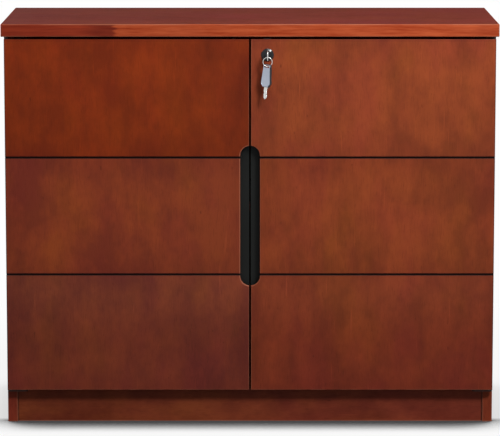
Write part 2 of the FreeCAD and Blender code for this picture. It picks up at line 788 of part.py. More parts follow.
def door_body(side, sign):
    body = new_body(f"{side}_door_board")
    outline = sketch_on(body, "XZ_Plane", DOOR_BACK)
    rectangle(outline, (DOOR_INNER * sign, DOOR_BOTTOM), (DOOR_OUTER * sign, DOOR_TOP))
    extrude(body, outline, dim.door_thickness)
    grip = sketch_on(body, "XZ_Plane", DOOR_FRONT)
    stadium(grip, DOOR_MIDDLE, dim.handle_height / 2, dim.handle_radius)
    opened = hollow(body, grip, dim.door_thickness)
    round_edges(body, opened, edge_at("Y", DOOR_FRONT), dim.door_edge_round)
    grooves = sketch_on(body, "YZ_Plane", DOOR_INNER * sign)
    third = (DOOR_TOP - DOOR_BOTTOM) / 3
    half = dim.groove_width / 2
    for middle in (DOOR_BOTTOM + third, DOOR_TOP - third):
        lip = half + dim.groove_lip
        polygon(grooves, [
            (DOOR_FRONT, middle - lip), (DOOR_FRONT, middle + lip),
            (DOOR_FRONT + dim.groove_lip, middle + half), (DOOR_FRONT + dim.groove_depth, middle + half),
            (DOOR_FRONT + dim.groove_depth, middle - half), (DOOR_FRONT + dim.groove_lip, middle - half)])
    hollow(body, grooves, DOOR_OUTER - DOOR_INNER, sign > 0)
    for grow, depth in ((insert_radius(), dim.door_thickness - dim.handle_lip),
                        (insert_radius() + dim.insert_flange, dim.insert_floor)):
        radius = grow + dim.insert_slack
        tray = sketch_on(body, "XZ_Plane", DOOR_BACK)
        stadium(tray, DOOR_MIDDLE, dim.handle_height / 2 + radius - dim.handle_radius, radius)
        hollow(body, tray, depth, True)
    for low, flip in ((DOOR_TOP, False), (DOOR_BOTTOM, True)):
        recess = sketch_on(body, "XY_Plane", low)
        rectangle(recess, *leaf_corners(sign))
        hollow(body, recess, dim.pivot_plate_thickness, flip)
        bore = sketch_on(body, "XY_Plane", low)
        circle(bore, PIVOT_X * sign, PIVOT_Y, dim.pivot_radius + dim.pivot_bore_slack)
        hollow(body, bore, dim.pivot_pin_reach + dim.pivot_bore_slack, flip)
    return body


def doors(cutters):
    left = door_body("left", -1)
    keep("left_door", carve("left_door", left, cutters["left"]))
    right = door_body("right", 1)
    hole = sketch_on(right, "XZ_Plane", DOOR_FRONT)
    circle(hole, LOCK_X, LOCK_Z, dim.barrel_radius + dim.barrel_slack)
    hollow(right, hole, dim.door_thickness)
    keep("right_door", carve("right_door", right, cutters["right"]))


def handle_inserts(cutters):
    """Half trays behind the handle's opening, each on a flange in its door's back."""
    for side, sign in SIDES.items():
        body = new_body(f"{side}_tray")
        outer = insert_radius()
        half_height = dim.handle_height / 2 + outer - dim.handle_radius
        lip_back = DOOR_FRONT + dim.handle_lip
        flange = sketch_on(body, "XZ_Plane", DOOR_BACK)
        stadium(flange, DOOR_MIDDLE, half_height + dim.insert_flange, outer + dim.insert_flange)
        extrude(body, flange, dim.insert_floor)
        shell = sketch_on(body, "XZ_Plane", DOOR_BACK)
        stadium(shell, DOOR_MIDDLE, half_height, outer)
        extrude(body, shell, dim.door_thickness - dim.handle_lip)
        inside = sketch_on(body, "XZ_Plane", lip_back)
        stadium(inside, DOOR_MIDDLE, half_height - dim.insert_wall, outer - dim.insert_wall)
        hollow(body, inside, dim.door_thickness - dim.handle_lip - dim.insert_floor)
        far = outer + dim.insert_flange + dim.insert_slack
        split = sketch_on(body, "XZ_Plane", DOOR_BACK)
        reach = half_height + dim.insert_flange + dim.insert_slack
        rectangle(split, (-far * sign, DOOR_MIDDLE - reach),
                  (DOOR_INNER * sign, DOOR_MIDDLE + reach))
        hollow(body, split, dim.door_thickness, True)
        keep(f"{side}_handle_insert", carve(f"{side}_handle_insert", body, cutters[side]))


def bumpers():
    """Soft discs on the door backs, just clear of the carcass when the doors are shut."""
    thickness = dim.door_back_gap - dim.bumper_gap
    for side, sign in SIDES.items():
        places = [
            (DOOR_INNER + dim.bumper_inset, BOTTOM_MIDDLE),
            (SIDE_MIDDLE, BOTTOM_TOP + dim.joint_inset),
            (SIDE_MIDDLE, DOOR_TOP - dim.joint_inset)]
        discs = []
        for x, z in places:
            discs.append(rod("bumper", (x * sign, DOOR_BACK, z), dim.bumper_radius, thickness, "Y"))
        keep(f"{side}_bumpers", group(f"{side}_bumpers", discs))


def lock_bezel():
    flange = rod("bezel_flange", (LOCK_X, DOOR_FRONT, LOCK_Z), dim.bezel_radius, dim.bezel_height, "-Y")
    rounded = doc.addObject("Part::Fillet", "bezel_round")
    rounded.Base = flange
    doc.recompute()
    rim = edge_at("Y", DOOR_FRONT - dim.bezel_height)
    radius = float(dim.bezel_round)
    rounded.Edges = [(i, radius, radius) for i, edge in enumerate(flange.Shape.Edges, start=1) if rim(edge)]
    barrel = rod("bezel_barrel", (LOCK_X, DOOR_FRONT, LOCK_Z), dim.barrel_radius, dim.door_thickness, "Y")
    bore = rod("bezel_bore", (LOCK_X, DOOR_FRONT - dim.bezel_height, LOCK_Z),
               dim.plug_radius + dim.plug_slack, dim.bezel_height + dim.door_thickness, "Y")
    keep("lock_bezel", carve("lock_bezel", join("bezel_solid", [rounded, barrel]), [bore]))


DRIVE_SWING = dim.drive_pin_offset * math.sqrt(0.5)
DISC_FRONT = DOOR_BACK + dim.case_gap
DISC_BACK = DISC_FRONT + dim.cam_disc_thickness
KEY_END = DOOR_FRONT - dim.bezel_height - dim.plug_proud


def lock_plug():
    """Plug with its key slot, and the disc whose pin drives the bolt."""
    core = rod("plug_core", (LOCK_X, KEY_END, LOCK_Z), dim.plug_radius, DISC_FRONT - KEY_END, "Y")
    disc = rod("plug_disc", (LOCK_X, DISC_FRONT, LOCK_Z), dim.cam_disc_radius, dim.cam_disc_thickness, "Y")
    pin = rod("plug_pin", (LOCK_X + DRIVE_SWING, DISC_FRONT, LOCK_Z - DRIVE_SWING),
              dim.drive_pin_radius, LOCK_BOLT_Y + dim.bolt_thickness / 2 - DISC_FRONT, "Y")
    half_width = dim.key_slot_width / 2
    half_height = dim.key_slot_height / 2
    slot = block("plug_slot", (LOCK_X - half_width, KEY_END, LOCK_Z - half_height),
                 (LOCK_X + half_width, KEY_END + dim.key_shank_depth, LOCK_Z + half_height))
    keep("lock_plug", carve("lock_plug", join("plug_solid", [core, disc, pin]), [slot]))


def lock_bolt():
    body = new_body("lock_bolt")
    outline = sketch_on(body, "XZ_Plane", LOCK_BOLT_Y + dim.bolt_thickness / 2)
    wide = dim.bolt_width / 2
    narrow = dim.bolt_tongue / 2
    low = LOCK_Z - dim.bolt_below
    shoulder = LOCK_Z + dim.bolt_shoulder
    end = UNDERSIDE - dim.bolt_rest_gap
    polygon(outline, [
        (LOCK_X - wide, low), (LOCK_X + wide, low), (LOCK_X + wide, shoulder),
        (LOCK_X + narrow, shoulder), (LOCK_X + narrow, end), (LOCK_X - narrow, end),
        (LOCK_X - narrow, shoulder), (LOCK_X - wide, shoulder)])
    extrude(body, outline, dim.bolt_thickness)
    slot = sketch_on(body, "XZ_Plane", LOCK_BOLT_Y - dim.bolt_thickness / 2)
    reach = dim.drive_pin_radius + dim.drive_slack
    middle = LOCK_Z - DRIVE_SWING
    rectangle(slot, (LOCK_X + DRIVE_SWING - reach, middle - reach),
              (LOCK_X + dim.drive_pin_offset + reach, middle + reach))
    hollow(body, slot, dim.bolt_thickness)
    keep("lock_bolt", body)


def lock_case(cutters):
    """Cover on the door's back, open towards the door, with a window for the bolt and two ears."""
    body = new_body("lock_cover")
    half = dim.case_width / 2
    outline = sketch_on(body, "XZ_Plane", DOOR_BACK)
    rectangle(outline, (LOCK_X - half, CASE_LOW), (LOCK_X + half, CASE_TOP))
    cover = extrude(body, outline, CASE_BACK + dim.case_wall - DOOR_BACK, True)
    back = edge_at("Y", CASE_BACK + dim.case_wall)
    round_edges(body, cover, back, dim.case_wall)
    ears = sketch_on(body, "XZ_Plane", DOOR_BACK)
    ear = half + dim.screw_edge * 2
    rectangle(ears, (LOCK_X - ear, LOCK_Z - dim.screw_edge), (LOCK_X + ear, LOCK_Z + dim.screw_edge))
    extrude(body, ears, dim.case_wall, True)
    inside = sketch_on(body, "XZ_Plane", DOOR_BACK)
    wall = dim.case_wall
    rectangle(inside, (LOCK_X - half + wall, CASE_LOW + wall), (LOCK_X + half - wall, CASE_TOP - wall))
    hollow(body, inside, CASE_BACK - DOOR_BACK)
    window = sketch_on(body, "XY_Plane", CASE_TOP)
    window_half = dim.bolt_tongue / 2 + dim.case_gap
    window_y = dim.bolt_thickness / 2 + dim.case_gap
    rectangle(window, (LOCK_X - window_half, LOCK_BOLT_Y - window_y),
              (LOCK_X + window_half, LOCK_BOLT_Y + window_y))
    hollow(body, window, dim.case_wall)
    keep("lock_case", carve("lock_case", body, cutters["right"]))


def surface_bolt(cutters):
    """Guide on the left door's back, and the bolt that slides in its two blocks."""
    x = -(DOOR_INNER + dim.slide_inset)
    half = dim.guide_width / 2
    plate_back = DOOR_BACK + dim.guide_plate
    plate = block("guide_plate", (x - half, DOOR_BACK, GUIDE_LOW), (x + half, plate_back, GUIDE_TOP))
    reach = dim.slide_radius + dim.guide_wall
    blocks = []
    for low in (GUIDE_LOW, GUIDE_TOP - dim.guide_block):
        blocks.append(block("guide_block", (x - reach, DOOR_BACK, low),
                            (x + reach, SLIDE_Y + reach, low + dim.guide_block)))
    bore_radius = dim.slide_radius + dim.slide_slack
    bore = rod("guide_bore", (x, SLIDE_Y, GUIDE_LOW), bore_radius, dim.guide_length, "Z")
    guide = carve("guide", join("guide_solid", [plate] + blocks), [bore] + cutters["left"])
    keep("left_bolt_guide", guide)
    end = UNDERSIDE - dim.slide_rest_gap
    shaft = rod("slide_shaft", (x, SLIDE_Y, end - dim.slide_length), dim.slide_radius, dim.slide_length, "Z")
    knob_z = GUIDE_LOW + dim.guide_length / 2 - dim.guide_block
    knob = rod("slide_knob", (x, SLIDE_Y, knob_z), dim.knob_radius, dim.knob_length, "Y")
    keep("left_bolt", join("left_bolt", [shaft, knob]))


BOW_FRONT = KEY_END - dim.key_bow_stand + dim.bezel_height
RING_Y = BOW_FRONT - dim.key_hole_inset
HOLE_Z = LOCK_Z - dim.key_hole_drop
RING_TOP = HOLE_Z - dim.key_hole_radius + dim.ring_seat + dim.ring_wire
RING_Z = RING_TOP - dim.ring_radius
HANG_Z = RING_Z - dim.ring_radius


def door_key():
    """Flat key in the plug: a shank, and a round-cornered bow with a hole for the ring."""
    body = new_body("door_key")
    outline = sketch_on(body, "YZ_Plane", LOCK_X - dim.key_thickness / 2)
    bow = dim.key_bow_height / 2
    shank = dim.key_shank_height / 2
    back = BOW_FRONT - dim.key_bow_length
    tip = KEY_END + dim.key_shank_depth
    low = LOCK_Z - bow
    high = LOCK_Z + bow
    corners = [(back, low), (BOW_FRONT, low), (BOW_FRONT, high), (back, high)]
    polygon(outline, [
        corners[0], corners[1], (BOW_FRONT, LOCK_Z - shank), (tip, LOCK_Z - shank),
        (tip, LOCK_Z + shank), (BOW_FRONT, LOCK_Z + shank), corners[2], corners[3]])
    circle(outline, RING_Y, HOLE_Z, dim.key_hole_radius)
    blank = extrude(body, outline, dim.key_thickness)
    round_edges(body, blank, upright_at("X", [corners[0], corners[3]]), dim.key_bow_round)
    keep("door_key", body)


def key_ring():
    ring = doc.addObject("Part::Torus", "key_ring")
    ring.Placement.Rotation = TURNS["Y"]
    bind(ring, "Radius1", dim.ring_radius)
    bind(ring, "Radius2", dim.ring_wire)
    move_to(ring, (LOCK_X, RING_Y, RING_Z))
    keep("key_ring", ring)


def hang(piece):
    """Hang a piece of the spare key on the ring's lowest point, turned and leaning a little."""
    turn = FreeCAD.Rotation(FreeCAD.Vector(0, 0, 1), -float(dim.spare_turn))
    lean = FreeCAD.Rotation(FreeCAD.Vector(0, 1, 0), float(dim.spare_lean))
    piece.Placement.Rotation = lean.multiply(turn)
    move_to(piece, (LOCK_X, RING_Y, HANG_Z))


def spare_key():
    """Spare key, drawn about the place where it hangs: head, bare plate and blade."""
    head = new_body("spare_key_head")
    half = dim.spare_head_thickness / 2
    outline = sketch_on(head, "XZ_Plane", half)
    top = dim.spare_top
    waist = top - dim.spare_head_waist
    low = top - dim.spare_head_length
    upper = dim.spare_head_top / 2
    lower = dim.spare_head_bottom / 2
    neck = dim.spare_neck / 2
    shoulder = waist - dim.spare_shoulder
    polygon(outline, [
        (-upper, top), (-lower, waist), (-neck, shoulder), (-neck, low),
        (neck, low), (neck, shoulder), (lower, waist), (upper, top)])
    slot_half = dim.spare_slot_width / 2
    slot_top = dim.spare_slot_top
    slot_low = slot_top - dim.spare_slot_height
    rectangle(outline, (-slot_half, slot_low), (slot_half, slot_top))
    solid = extrude(head, outline, dim.spare_head_thickness)
    corners = [(-upper, top), (upper, top), (-lower, waist), (lower, waist)]
    round_edges(head, solid, upright_at("Y", corners), dim.spare_head_round)
    blade_half = dim.spare_blade_width / 2
    thick = dim.key_thickness / 2
    socket = sketch_on(head, "XY_Plane", low)
    rectangle(socket, (-blade_half, -thick), (blade_half, thick))
    hollow(head, socket, dim.spare_blade_root, True)
    hang(head)
    keep("spare_key_head", head)

    plate = new_body("spare_key_plate")
    outline = sketch_on(plate, "XZ_Plane", -half)
    margin = dim.spare_plate_margin
    plate_top = top - margin
    plate_low = low + margin
    upper = upper - margin
    lower = lower - margin
    neck = neck - margin
    polygon(outline, [
        (-upper, plate_top), (-lower, waist), (-neck, shoulder), (-neck, plate_low),
        (neck, plate_low), (neck, shoulder), (lower, waist), (upper, plate_top)])
    rectangle(outline, (-slot_half, slot_low), (slot_half, slot_top))
    extrude(plate, outline, dim.spare_plate_thickness)
    hang(plate)
    keep("spare_key_plate", plate)

    blade = new_body("spare_key_blade")
    outline = sketch_on(blade, "XZ_Plane", thick)
    end = low - dim.spare_blade_length
    root = low + dim.spare_blade_root
    polygon(outline, [
        (-blade_half, root), (-blade_half, end + blade_half), (ZERO, end), (blade_half, end + blade_half),
        (blade_half, root)])
    extrude(blade, outline, dim.key_thickness)
    hang(blade)
    keep("spare_key_blade", blade)


def check_and_write():
    """Stop on any failed object or bad shape, then write each sub-part."""
    doc.recompute()
    failed = [item.Name for item in doc.Objects if {"Invalid", "Error"} & set(item.State)]
    if failed:
        raise RuntimeError(f"failed objects: {failed}")
    for piece in sub_parts:
        if piece.Shape.isNull() or not piece.Shape.isValid():
            raise RuntimeError(f"bad shape: {piece.Label}")
    for piece in sub_parts:
        piece.Shape.exportStep(f"parts/{piece.Label}.step")


fasteners = board_fasteners()
fixed_screws = carcass_screws()
moving_screws = door_screws()
board_cutters = fasteners + fixed_screws
top_panel(board_cutters)
side_panels(board_cutters)
bottom_panel(board_cutters)
back_panel()
shelf()
plinth(fasteners)
strike_plates(fixed_screws)
door_pivots(fixed_screws, moving_screws)
doors(moving_screws)
handle_inserts(moving_screws)
bumpers()
lock_bezel()
lock_plug()
lock_bolt()
lock_case(moving_screws)
surface_bolt(moving_screws)
door_key()
key_ring()
spare_key()
check_and_write()
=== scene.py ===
# %% [markdown]
# A two-door printer cabinet in red-brown veneer, dressed for the studio.
#
# The boards, doors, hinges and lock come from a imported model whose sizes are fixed. This lesson
# gives each of them the finish of the real one, and remakes the small turned and milled pieces as
# curved surfaces. Every piece keeps its place, so the doors, the key and the bolts still move.

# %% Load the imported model
import math

import bmesh
import bpy
import numpy as np
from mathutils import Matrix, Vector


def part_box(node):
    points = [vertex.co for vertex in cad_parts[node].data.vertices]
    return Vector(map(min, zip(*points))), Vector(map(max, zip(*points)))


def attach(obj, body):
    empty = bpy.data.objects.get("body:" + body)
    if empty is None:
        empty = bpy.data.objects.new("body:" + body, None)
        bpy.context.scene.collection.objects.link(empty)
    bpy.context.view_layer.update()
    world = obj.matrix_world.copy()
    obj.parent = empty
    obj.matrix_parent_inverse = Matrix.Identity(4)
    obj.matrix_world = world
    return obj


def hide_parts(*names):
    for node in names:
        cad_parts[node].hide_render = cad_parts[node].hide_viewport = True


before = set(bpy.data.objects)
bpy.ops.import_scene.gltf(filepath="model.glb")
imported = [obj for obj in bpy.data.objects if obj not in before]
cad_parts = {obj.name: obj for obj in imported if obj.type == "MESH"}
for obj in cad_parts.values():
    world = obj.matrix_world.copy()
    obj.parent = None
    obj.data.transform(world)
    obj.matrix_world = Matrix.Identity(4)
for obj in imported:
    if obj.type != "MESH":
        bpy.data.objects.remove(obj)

SIDEWAYS, INWARDS, UPRIGHT = 0, 1, 2

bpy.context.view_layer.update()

# %% [markdown]
# The camera stands where the photograph was taken: a little above the top, far away, with a long
# lens, so that the uprights stay nearly parallel. A wide lens close by would taper the top more,
# but it would lean the sides. The lens isn't shifted, so that every other view is framed alike.

# %% Camera
CAMERA_PLACE = (0.0, -6.344, 1.333)
CAMERA_DIP = 8.492
LENS_MM = 225.9
SENSOR_MM = 36

lens = bpy.data.cameras.new("studio_camera")
lens.lens = LENS_MM
lens.sensor_width = SENSOR_MM
camera = bpy.data.objects.new("studio_camera", lens)
camera.location = CAMERA_PLACE
camera.rotation_euler = (math.radians(90 - CAMERA_DIP), 0, 0)
bpy.context.collection.objects.link(camera)
bpy.context.scene.camera = camera
bpy.context.scene.view_settings.view_transform = "Standard"
print("camera is", round(-CAMERA_PLACE[1], 2), "m in front of the middle")

# %% [markdown]
# A finish is a tree of nodes. Adding nodes one by one hides the arithmetic, so one small class
# wraps a socket: plus, minus and times on it add the Math nodes, and one method makes every other
# node. It sets the node's own settings first, because some of them change which sockets there are.

# %% Sockets that can be added and multiplied


class Signal:
    """One output socket of a node tree, on which arithmetic adds Math nodes."""

    def __init__(self, tree, socket=None):
        self.tree = tree
        self.socket = socket

    def node(self, kind, settings=None, sockets=None, output=0):
        """A node of that kind: its settings, then its sockets' values or links."""
        made = self.tree.nodes.new(kind)
        for name, value in (settings or {}).items():
            setattr(made, name, value)
        for name, value in (sockets or {}).items():
            if isinstance(value, Signal):
                self.tree.links.new(value.socket, made.inputs[name])
            else:
                made.inputs[name].default_value = value
        return Signal(self.tree, made.outputs[output] if len(made.outputs) else None)

    def output(self, name):
        """Another output of the same node."""
        return Signal(self.tree, self.socket.node.outputs[name])

    def maths(self, operation, first, second=0.0):
        """A Math node on one or two values."""
        return self.node("ShaderNodeMath", {"operation": operation}, {0: first, 1: second})

    def __add__(self, other):
        return self.maths("ADD", self, other)

    def __sub__(self, other):
        return self.maths("SUBTRACT", self, other)

    def __mul__(self, other):
        return self.maths("MULTIPLY", self, other)

    def __rsub__(self, other):
        return self.maths("SUBTRACT", other, self)

    __radd__ = __add__
    __rmul__ = __mul__


print("plus, minus and times add Math nodes")

# %% [markdown]
# Every finish below needs the same few steps: a colour that is written as a screen shows it, a soft
# step between two values, a blend of two colours and a tint. Mix nodes do the last two, because a
# Math node would turn a colour grey.

# %% Colours and soft steps


def srgb(red, green, blue):
    """A colour as it is seen on a screen, from 0 to 255, as the linear colour that nodes take."""
    share = np.array([red, green, blue]) / 255
    linear = np.where(share > 0.04045, ((share + 0.055) / 1.055) ** 2.4, share / 12.92)
    return (*linear.tolist(), 1.0)


def ramp(value, low, high):
    """0 below low, 1 above high and a smooth rise between; high below low turns it round."""
    return value.node(
        "ShaderNodeMapRange", {"interpolation_type": "SMOOTHSTEP"},
        {"Value": value, "From Min": low, "From Max": high})


def blend(share, first, second):
    """The first colour where share is 0 and the second where it is 1."""
    return share.node(
        "ShaderNodeMix", {"data_type": "RGBA", "clamp_factor": True},
        {0: share, 6: first, 7: second}, 2)


def tinted(share, colour, tint):
    """The colour, multiplied by a tint where share is 1."""
    return share.node(
        "ShaderNodeMix", {"data_type": "RGBA", "blend_type": "MULTIPLY", "clamp_factor": True},
        {0: share, 6: colour, 7: (*tint, 1.0)}, 2)


def new_finish(name):
    """An empty material, and a signal to start its nodes from."""
    material = bpy.data.materials.new(name)
    material.use_nodes = True
    material.node_tree.nodes.clear()
    return material, Signal(material.node_tree)


print("screen red 150 is linear", round(srgb(150, 0, 0)[0], 3))

# %% [markdown]
# The world is plain white where the camera or a reflection sees it. As a light it is only a soft
# fill, because a white world that lit the cabinet at full strength would wash out its colours.

# %% World
FILL_LIGHT = 0.17
PURE_WHITE = srgb(255, 255, 255)


def seen_directly(start):
    """1 for a ray from the camera, or one that a mirror or a glass passes on, and 0 for light."""
    path = start.node("ShaderNodeLightPath")
    others = (1 - path.output("Is Glossy Ray")) * (1 - path.output("Is Transmission Ray"))
    return 1 - (1 - path.output("Is Camera Ray")) * others


world = bpy.data.worlds.new("studio")
world.use_nodes = True
world.node_tree.nodes.clear()
bpy.context.scene.world = world
start = Signal(world.node_tree)
brightness = seen_directly(start) * (1 - FILL_LIGHT) + FILL_LIGHT
backdrop = start.node("ShaderNodeBackground", {}, {"Color": PURE_WHITE, "Strength": brightness})
start.node("ShaderNodeOutputWorld", {}, {"Surface": backdrop})
print("fill light:", FILL_LIGHT)

# %% [markdown]
# Close to the cabinet the floor is a pale surface that takes the shadow, and further away it turns
# into white, as on a paper sweep. Where the floor meets the cabinet little light gets in, so
# occlusion within a hand's width darkens it there, most of all in front of the plinth. As a light
# the floor is much darker than it looks, or it would brighten the plinth from below.

# %% Floor
FLOOR_HALF = 5.0
NEAR_GLOW = 0.9
GLOW_RISES = (0.55, 1.3)
WHITENS = (0.9, 2.5)
CONTACT_REACH = 0.12
CONTACT_RAYS = 12
CONTACT_OPEN = (0.99, 0.5)
CONTACT_BESIDE = 0.25
PLINTH_LINE = (-0.14, -0.18)
PAPER_WHITE = srgb(252, 252, 252)
CONTACT_GREY = srgb(70, 68, 68)
BOUNCE_GREY = srgb(86, 86, 86)

paper, start = new_finish("studio_paper")
spot = start.node("ShaderNodeTexCoord", output="Object")
away = start.node("ShaderNodeVectorMath", {"operation": "LENGTH"}, {0: spot}, "Value")
seen = seen_directly(start)
glow = seen * (NEAR_GLOW + (1 - NEAR_GLOW) * ramp(away, *GLOW_RISES))
open_sky = start.node(
    "ShaderNodeAmbientOcclusion", {"samples": CONTACT_RAYS}, {"Distance": CONTACT_REACH}, "AO")
in_front = ramp(start.node("ShaderNodeSeparateXYZ", {}, {0: spot}, "Y"), *PLINTH_LINE)
contact = ramp(open_sky, *CONTACT_OPEN) * (CONTACT_BESIDE + (1 - CONTACT_BESIDE) * in_front)
pale = blend(contact, blend(ramp(away, *WHITENS), PAPER_WHITE, PURE_WHITE), CONTACT_GREY)
matt = start.node("ShaderNodeBsdfDiffuse", {}, {"Color": blend(seen, BOUNCE_GREY, pale)})
white = start.node("ShaderNodeEmission", {}, {"Color": pale, "Strength": 1.0})
sweep = start.node("ShaderNodeMixShader", {}, {0: glow, 1: matt, 2: white})
start.node("ShaderNodeOutputMaterial", {}, {"Surface": sweep})

sheet = bpy.data.meshes.new("studio_floor")
corners = np.array([[-1, -1, 0], [1, -1, 0], [1, 1, 0], [-1, 1, 0]]) * FLOOR_HALF
sheet.from_pydata(corners.tolist(), [], [[0, 1, 2, 3]])
sheet.materials.append(paper)
floor = bpy.data.objects.new("studio_floor", sheet)
bpy.context.collection.objects.link(floor)
print("floor is", 2 * FLOOR_HALF, "m wide")

# %% [markdown]
# Three soft lamps light it. The key lamp stands high in front and to the right: the right door is
# therefore brighter than the left, and the doors throw a shadow on the upper part of the plinth. A
# strip lamp hangs close above the front, so the light falls off down the doors and misses the plinth.
# A weak lamp behind it is there for the other views; the front never sees it.

# %% Lamps


def soft_lamp(name, place, target, size, power):
    """A square area lamp that looks at a point."""
    shape = bpy.data.lights.new(name, "AREA")
    shape.shape = "SQUARE"
    shape.size = size
    shape.energy = power
    lamp = bpy.data.objects.new(name, shape)
    towards = np.array(target) - np.array(place)
    level = math.hypot(towards[0], towards[1])
    lamp.location = place
    lamp.rotation_euler = (math.atan2(level, -towards[2]), 0, math.atan2(-towards[0], towards[1]))
    bpy.context.collection.objects.link(lamp)
    print(name, "is", round(float(np.linalg.norm(towards)), 2), "m from its target")


soft_lamp("key_lamp", place=(1.5, -2.6, 2.6), target=(0.15, -0.1, 0.45), size=0.7, power=70)
soft_lamp("strip_lamp", place=(0.35, -0.95, 1.75), target=(0.1, -0.2, 0.6), size=0.7, power=10.5)
soft_lamp("rear_lamp", place=(-1.6, 2.8, 1.1), target=(0.0, 0.2, 0.4), size=1.2, power=34)

# %% [markdown]
# The cabinet is veneered board, stained red-brown and lacquered. Its look is made of layers of
# very different size: soft clouds as wide as a hand, long streaks along the grain, thin pale
# flecks, and pores that only show close by. Each layer is noise that is stretched along the grain.
# An image would repeat and blur; noise in the board's own place does neither, and it runs over
# the edges as solid wood does. Every board gets its own offset, so no two look alike.

# %% Grain
SEED_STEPS = (1.0, 1.7, 2.3)
DRIFT_CELLS = 2.6
MIDDLE_GREY = (0.5, 0.5, 0.5)


def grain_layer(place, grain, across, along, seed, detail=3.0, rough=0.55):
    """Noise with 'across' cells a metre over the grain and 'along' cells a metre with it."""
    scale = [across] * 3
    scale[grain] = along
    stretched = place.node(
        "ShaderNodeMapping", {},
        {"Vector": place, "Location": [seed * step for step in SEED_STEPS], "Scale": scale})
    return place.node(
        "ShaderNodeTexNoise", {},
        {"Vector": stretched, "Scale": 1.0, "Detail": detail, "Roughness": rough})


def wandering(start, amount):
    """The surface's own place, pushed about a little by broad noise, so that grain is never ruled."""
    place = start.node("ShaderNodeTexCoord", output="Object")
    drift = start.node(
        "ShaderNodeTexNoise", {}, {"Vector": place, "Scale": DRIFT_CELLS, "Detail": 1.0}, "Color")
    centred = start.node("ShaderNodeVectorMath", {"operation": "SUBTRACT"}, {0: drift, 1: MIDDLE_GREY})
    small = start.node("ShaderNodeVectorMath", {"operation": "SCALE"}, {0: centred, "Scale": amount})
    return start.node("ShaderNodeVectorMath", {"operation": "ADD"}, {0: place, 1: small})


print("grain drifts over", round(1 / DRIFT_CELLS, 2), "m")

# %% [markdown]
# Sanded arrises with a painted highlight, dark edges with painted shade, and strips lie at a known
# distance from the faces of a board. A board is a box, so three distances, one to each pair of faces,
# say where a point lies on it.

# %% Places on a board
FULLY_WORN_AND_LIT = 0.2


def from_middle(start, low, high):
    """A point's three coordinates, and how far it lies inside each pair of faces of a box."""
    place = start.node("ShaderNodeTexCoord", output="Object")
    parts = start.node("ShaderNodeSeparateXYZ", {}, {0: place})
    inside = []
    for axis, name in enumerate("XYZ"):
        centre = (low[axis] + high[axis]) / 2
        distance = start.maths("ABSOLUTE", parts.output(name) - centre)
        inside.append((high[axis] - low[axis]) / 2 - distance)
    return parts, inside


def near_edge(inside, width):
    """1 on the arrises of a box, where the second smallest distance is a small share of the width."""
    a, b, c = inside
    smaller = a.maths("MINIMUM", a, b)
    larger = a.maths("MAXIMUM", a, b)
    second = a.maths("MAXIMUM", smaller, a.maths("MINIMUM", larger, c))
    return ramp(second, width, width * FULLY_WORN_AND_LIT)


def wear(node, material):
    """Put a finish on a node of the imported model."""
    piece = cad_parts[node]
    if not piece.material_slots:
        piece.data.materials.append(None)
    for place in piece.material_slots:
        place.material = material


print("edges of a board can be found")

# %% [markdown]
# These are the layers and the stain. Three layers move the tone. Four come out as marks: pale flecks,
# dark pins, open pores and the patches where an arris is painted pale, as sanded wood and as a painted
# highlight. One pulls the stain towards tan in one place and towards red in another, because stain
# never takes evenly.

# %% Layers of the veneer

# For each layer: cells a metre across the grain and along it, step of the seed, detail, roughness.
LAYERS = {
    "cloud": (8, 4.5, 0, 3, 0.55),
    "mottle": (30, 18, 3, 4, 0.6),
    "warmth": (9, 5, 15, 3, 0.55),
    "streak": (75, 1.7, 5, 5, 0.6),
    "fleck": (190, 7, 7, 2, 0.55),
    "pin": (170, 60, 13, 1, 0.55),
    "pore": (1500, 48, 9, 1, 0.55),
    "worn_and_lit": (40, 9, 11, 3, 0.55),
}
# How far a layer moves the tone, and between which values of its noise a mark comes out.
TONE = {"cloud": 2.3, "mottle": 2.0, "streak": 0.4}
SHOWS = {"fleck": (0.66, 0.78), "pin": (0.74, 0.82), "pore": (0.56, 0.68), "worn_and_lit": (0.25, 0.6)}
TANNED, REDDENED = (0.5, 0.68), (0.5, 0.32)
STAIN_TAN = (1.0, 1.1, 0.88)
STAIN_RED = (0.99, 0.9, 1.1)
# Pale arris colour: sanded wood, and also a painted highlight on rounded edges.
SANDED_AND_HIGHLIGHT = srgb(176, 106, 80)
LIGHTER, DARKER = 1.5, 0.35
FLECK_SHARE, PORE_SHARE, PIN_SHARE = 0.35, 0.25, 0.4
print("layers:", ", ".join(LAYERS))

# %% [markdown]
# One function finishes every board. It takes two tones of the stain, the direction of the grain and
# the lacquer's sheen. On the arrises pale wood is painted: partly sanded wood, as on real edges, and
# partly a painted highlight where the rounded edges catch the light. Some boards are dressed further:
# a function that is handed in repaints the colour before it reaches the shader.

# %% Veneer
BOARD_DRIFT = 0.02
ARRIS_WIDE = 0.0026
STREAK_GLOSS, PORE_GLOSS = 0.16, 0.14
RELIEF_STRENGTH, RELIEF_DEEP, STREAK_RELIEF = 0.25, 0.0003, 0.4


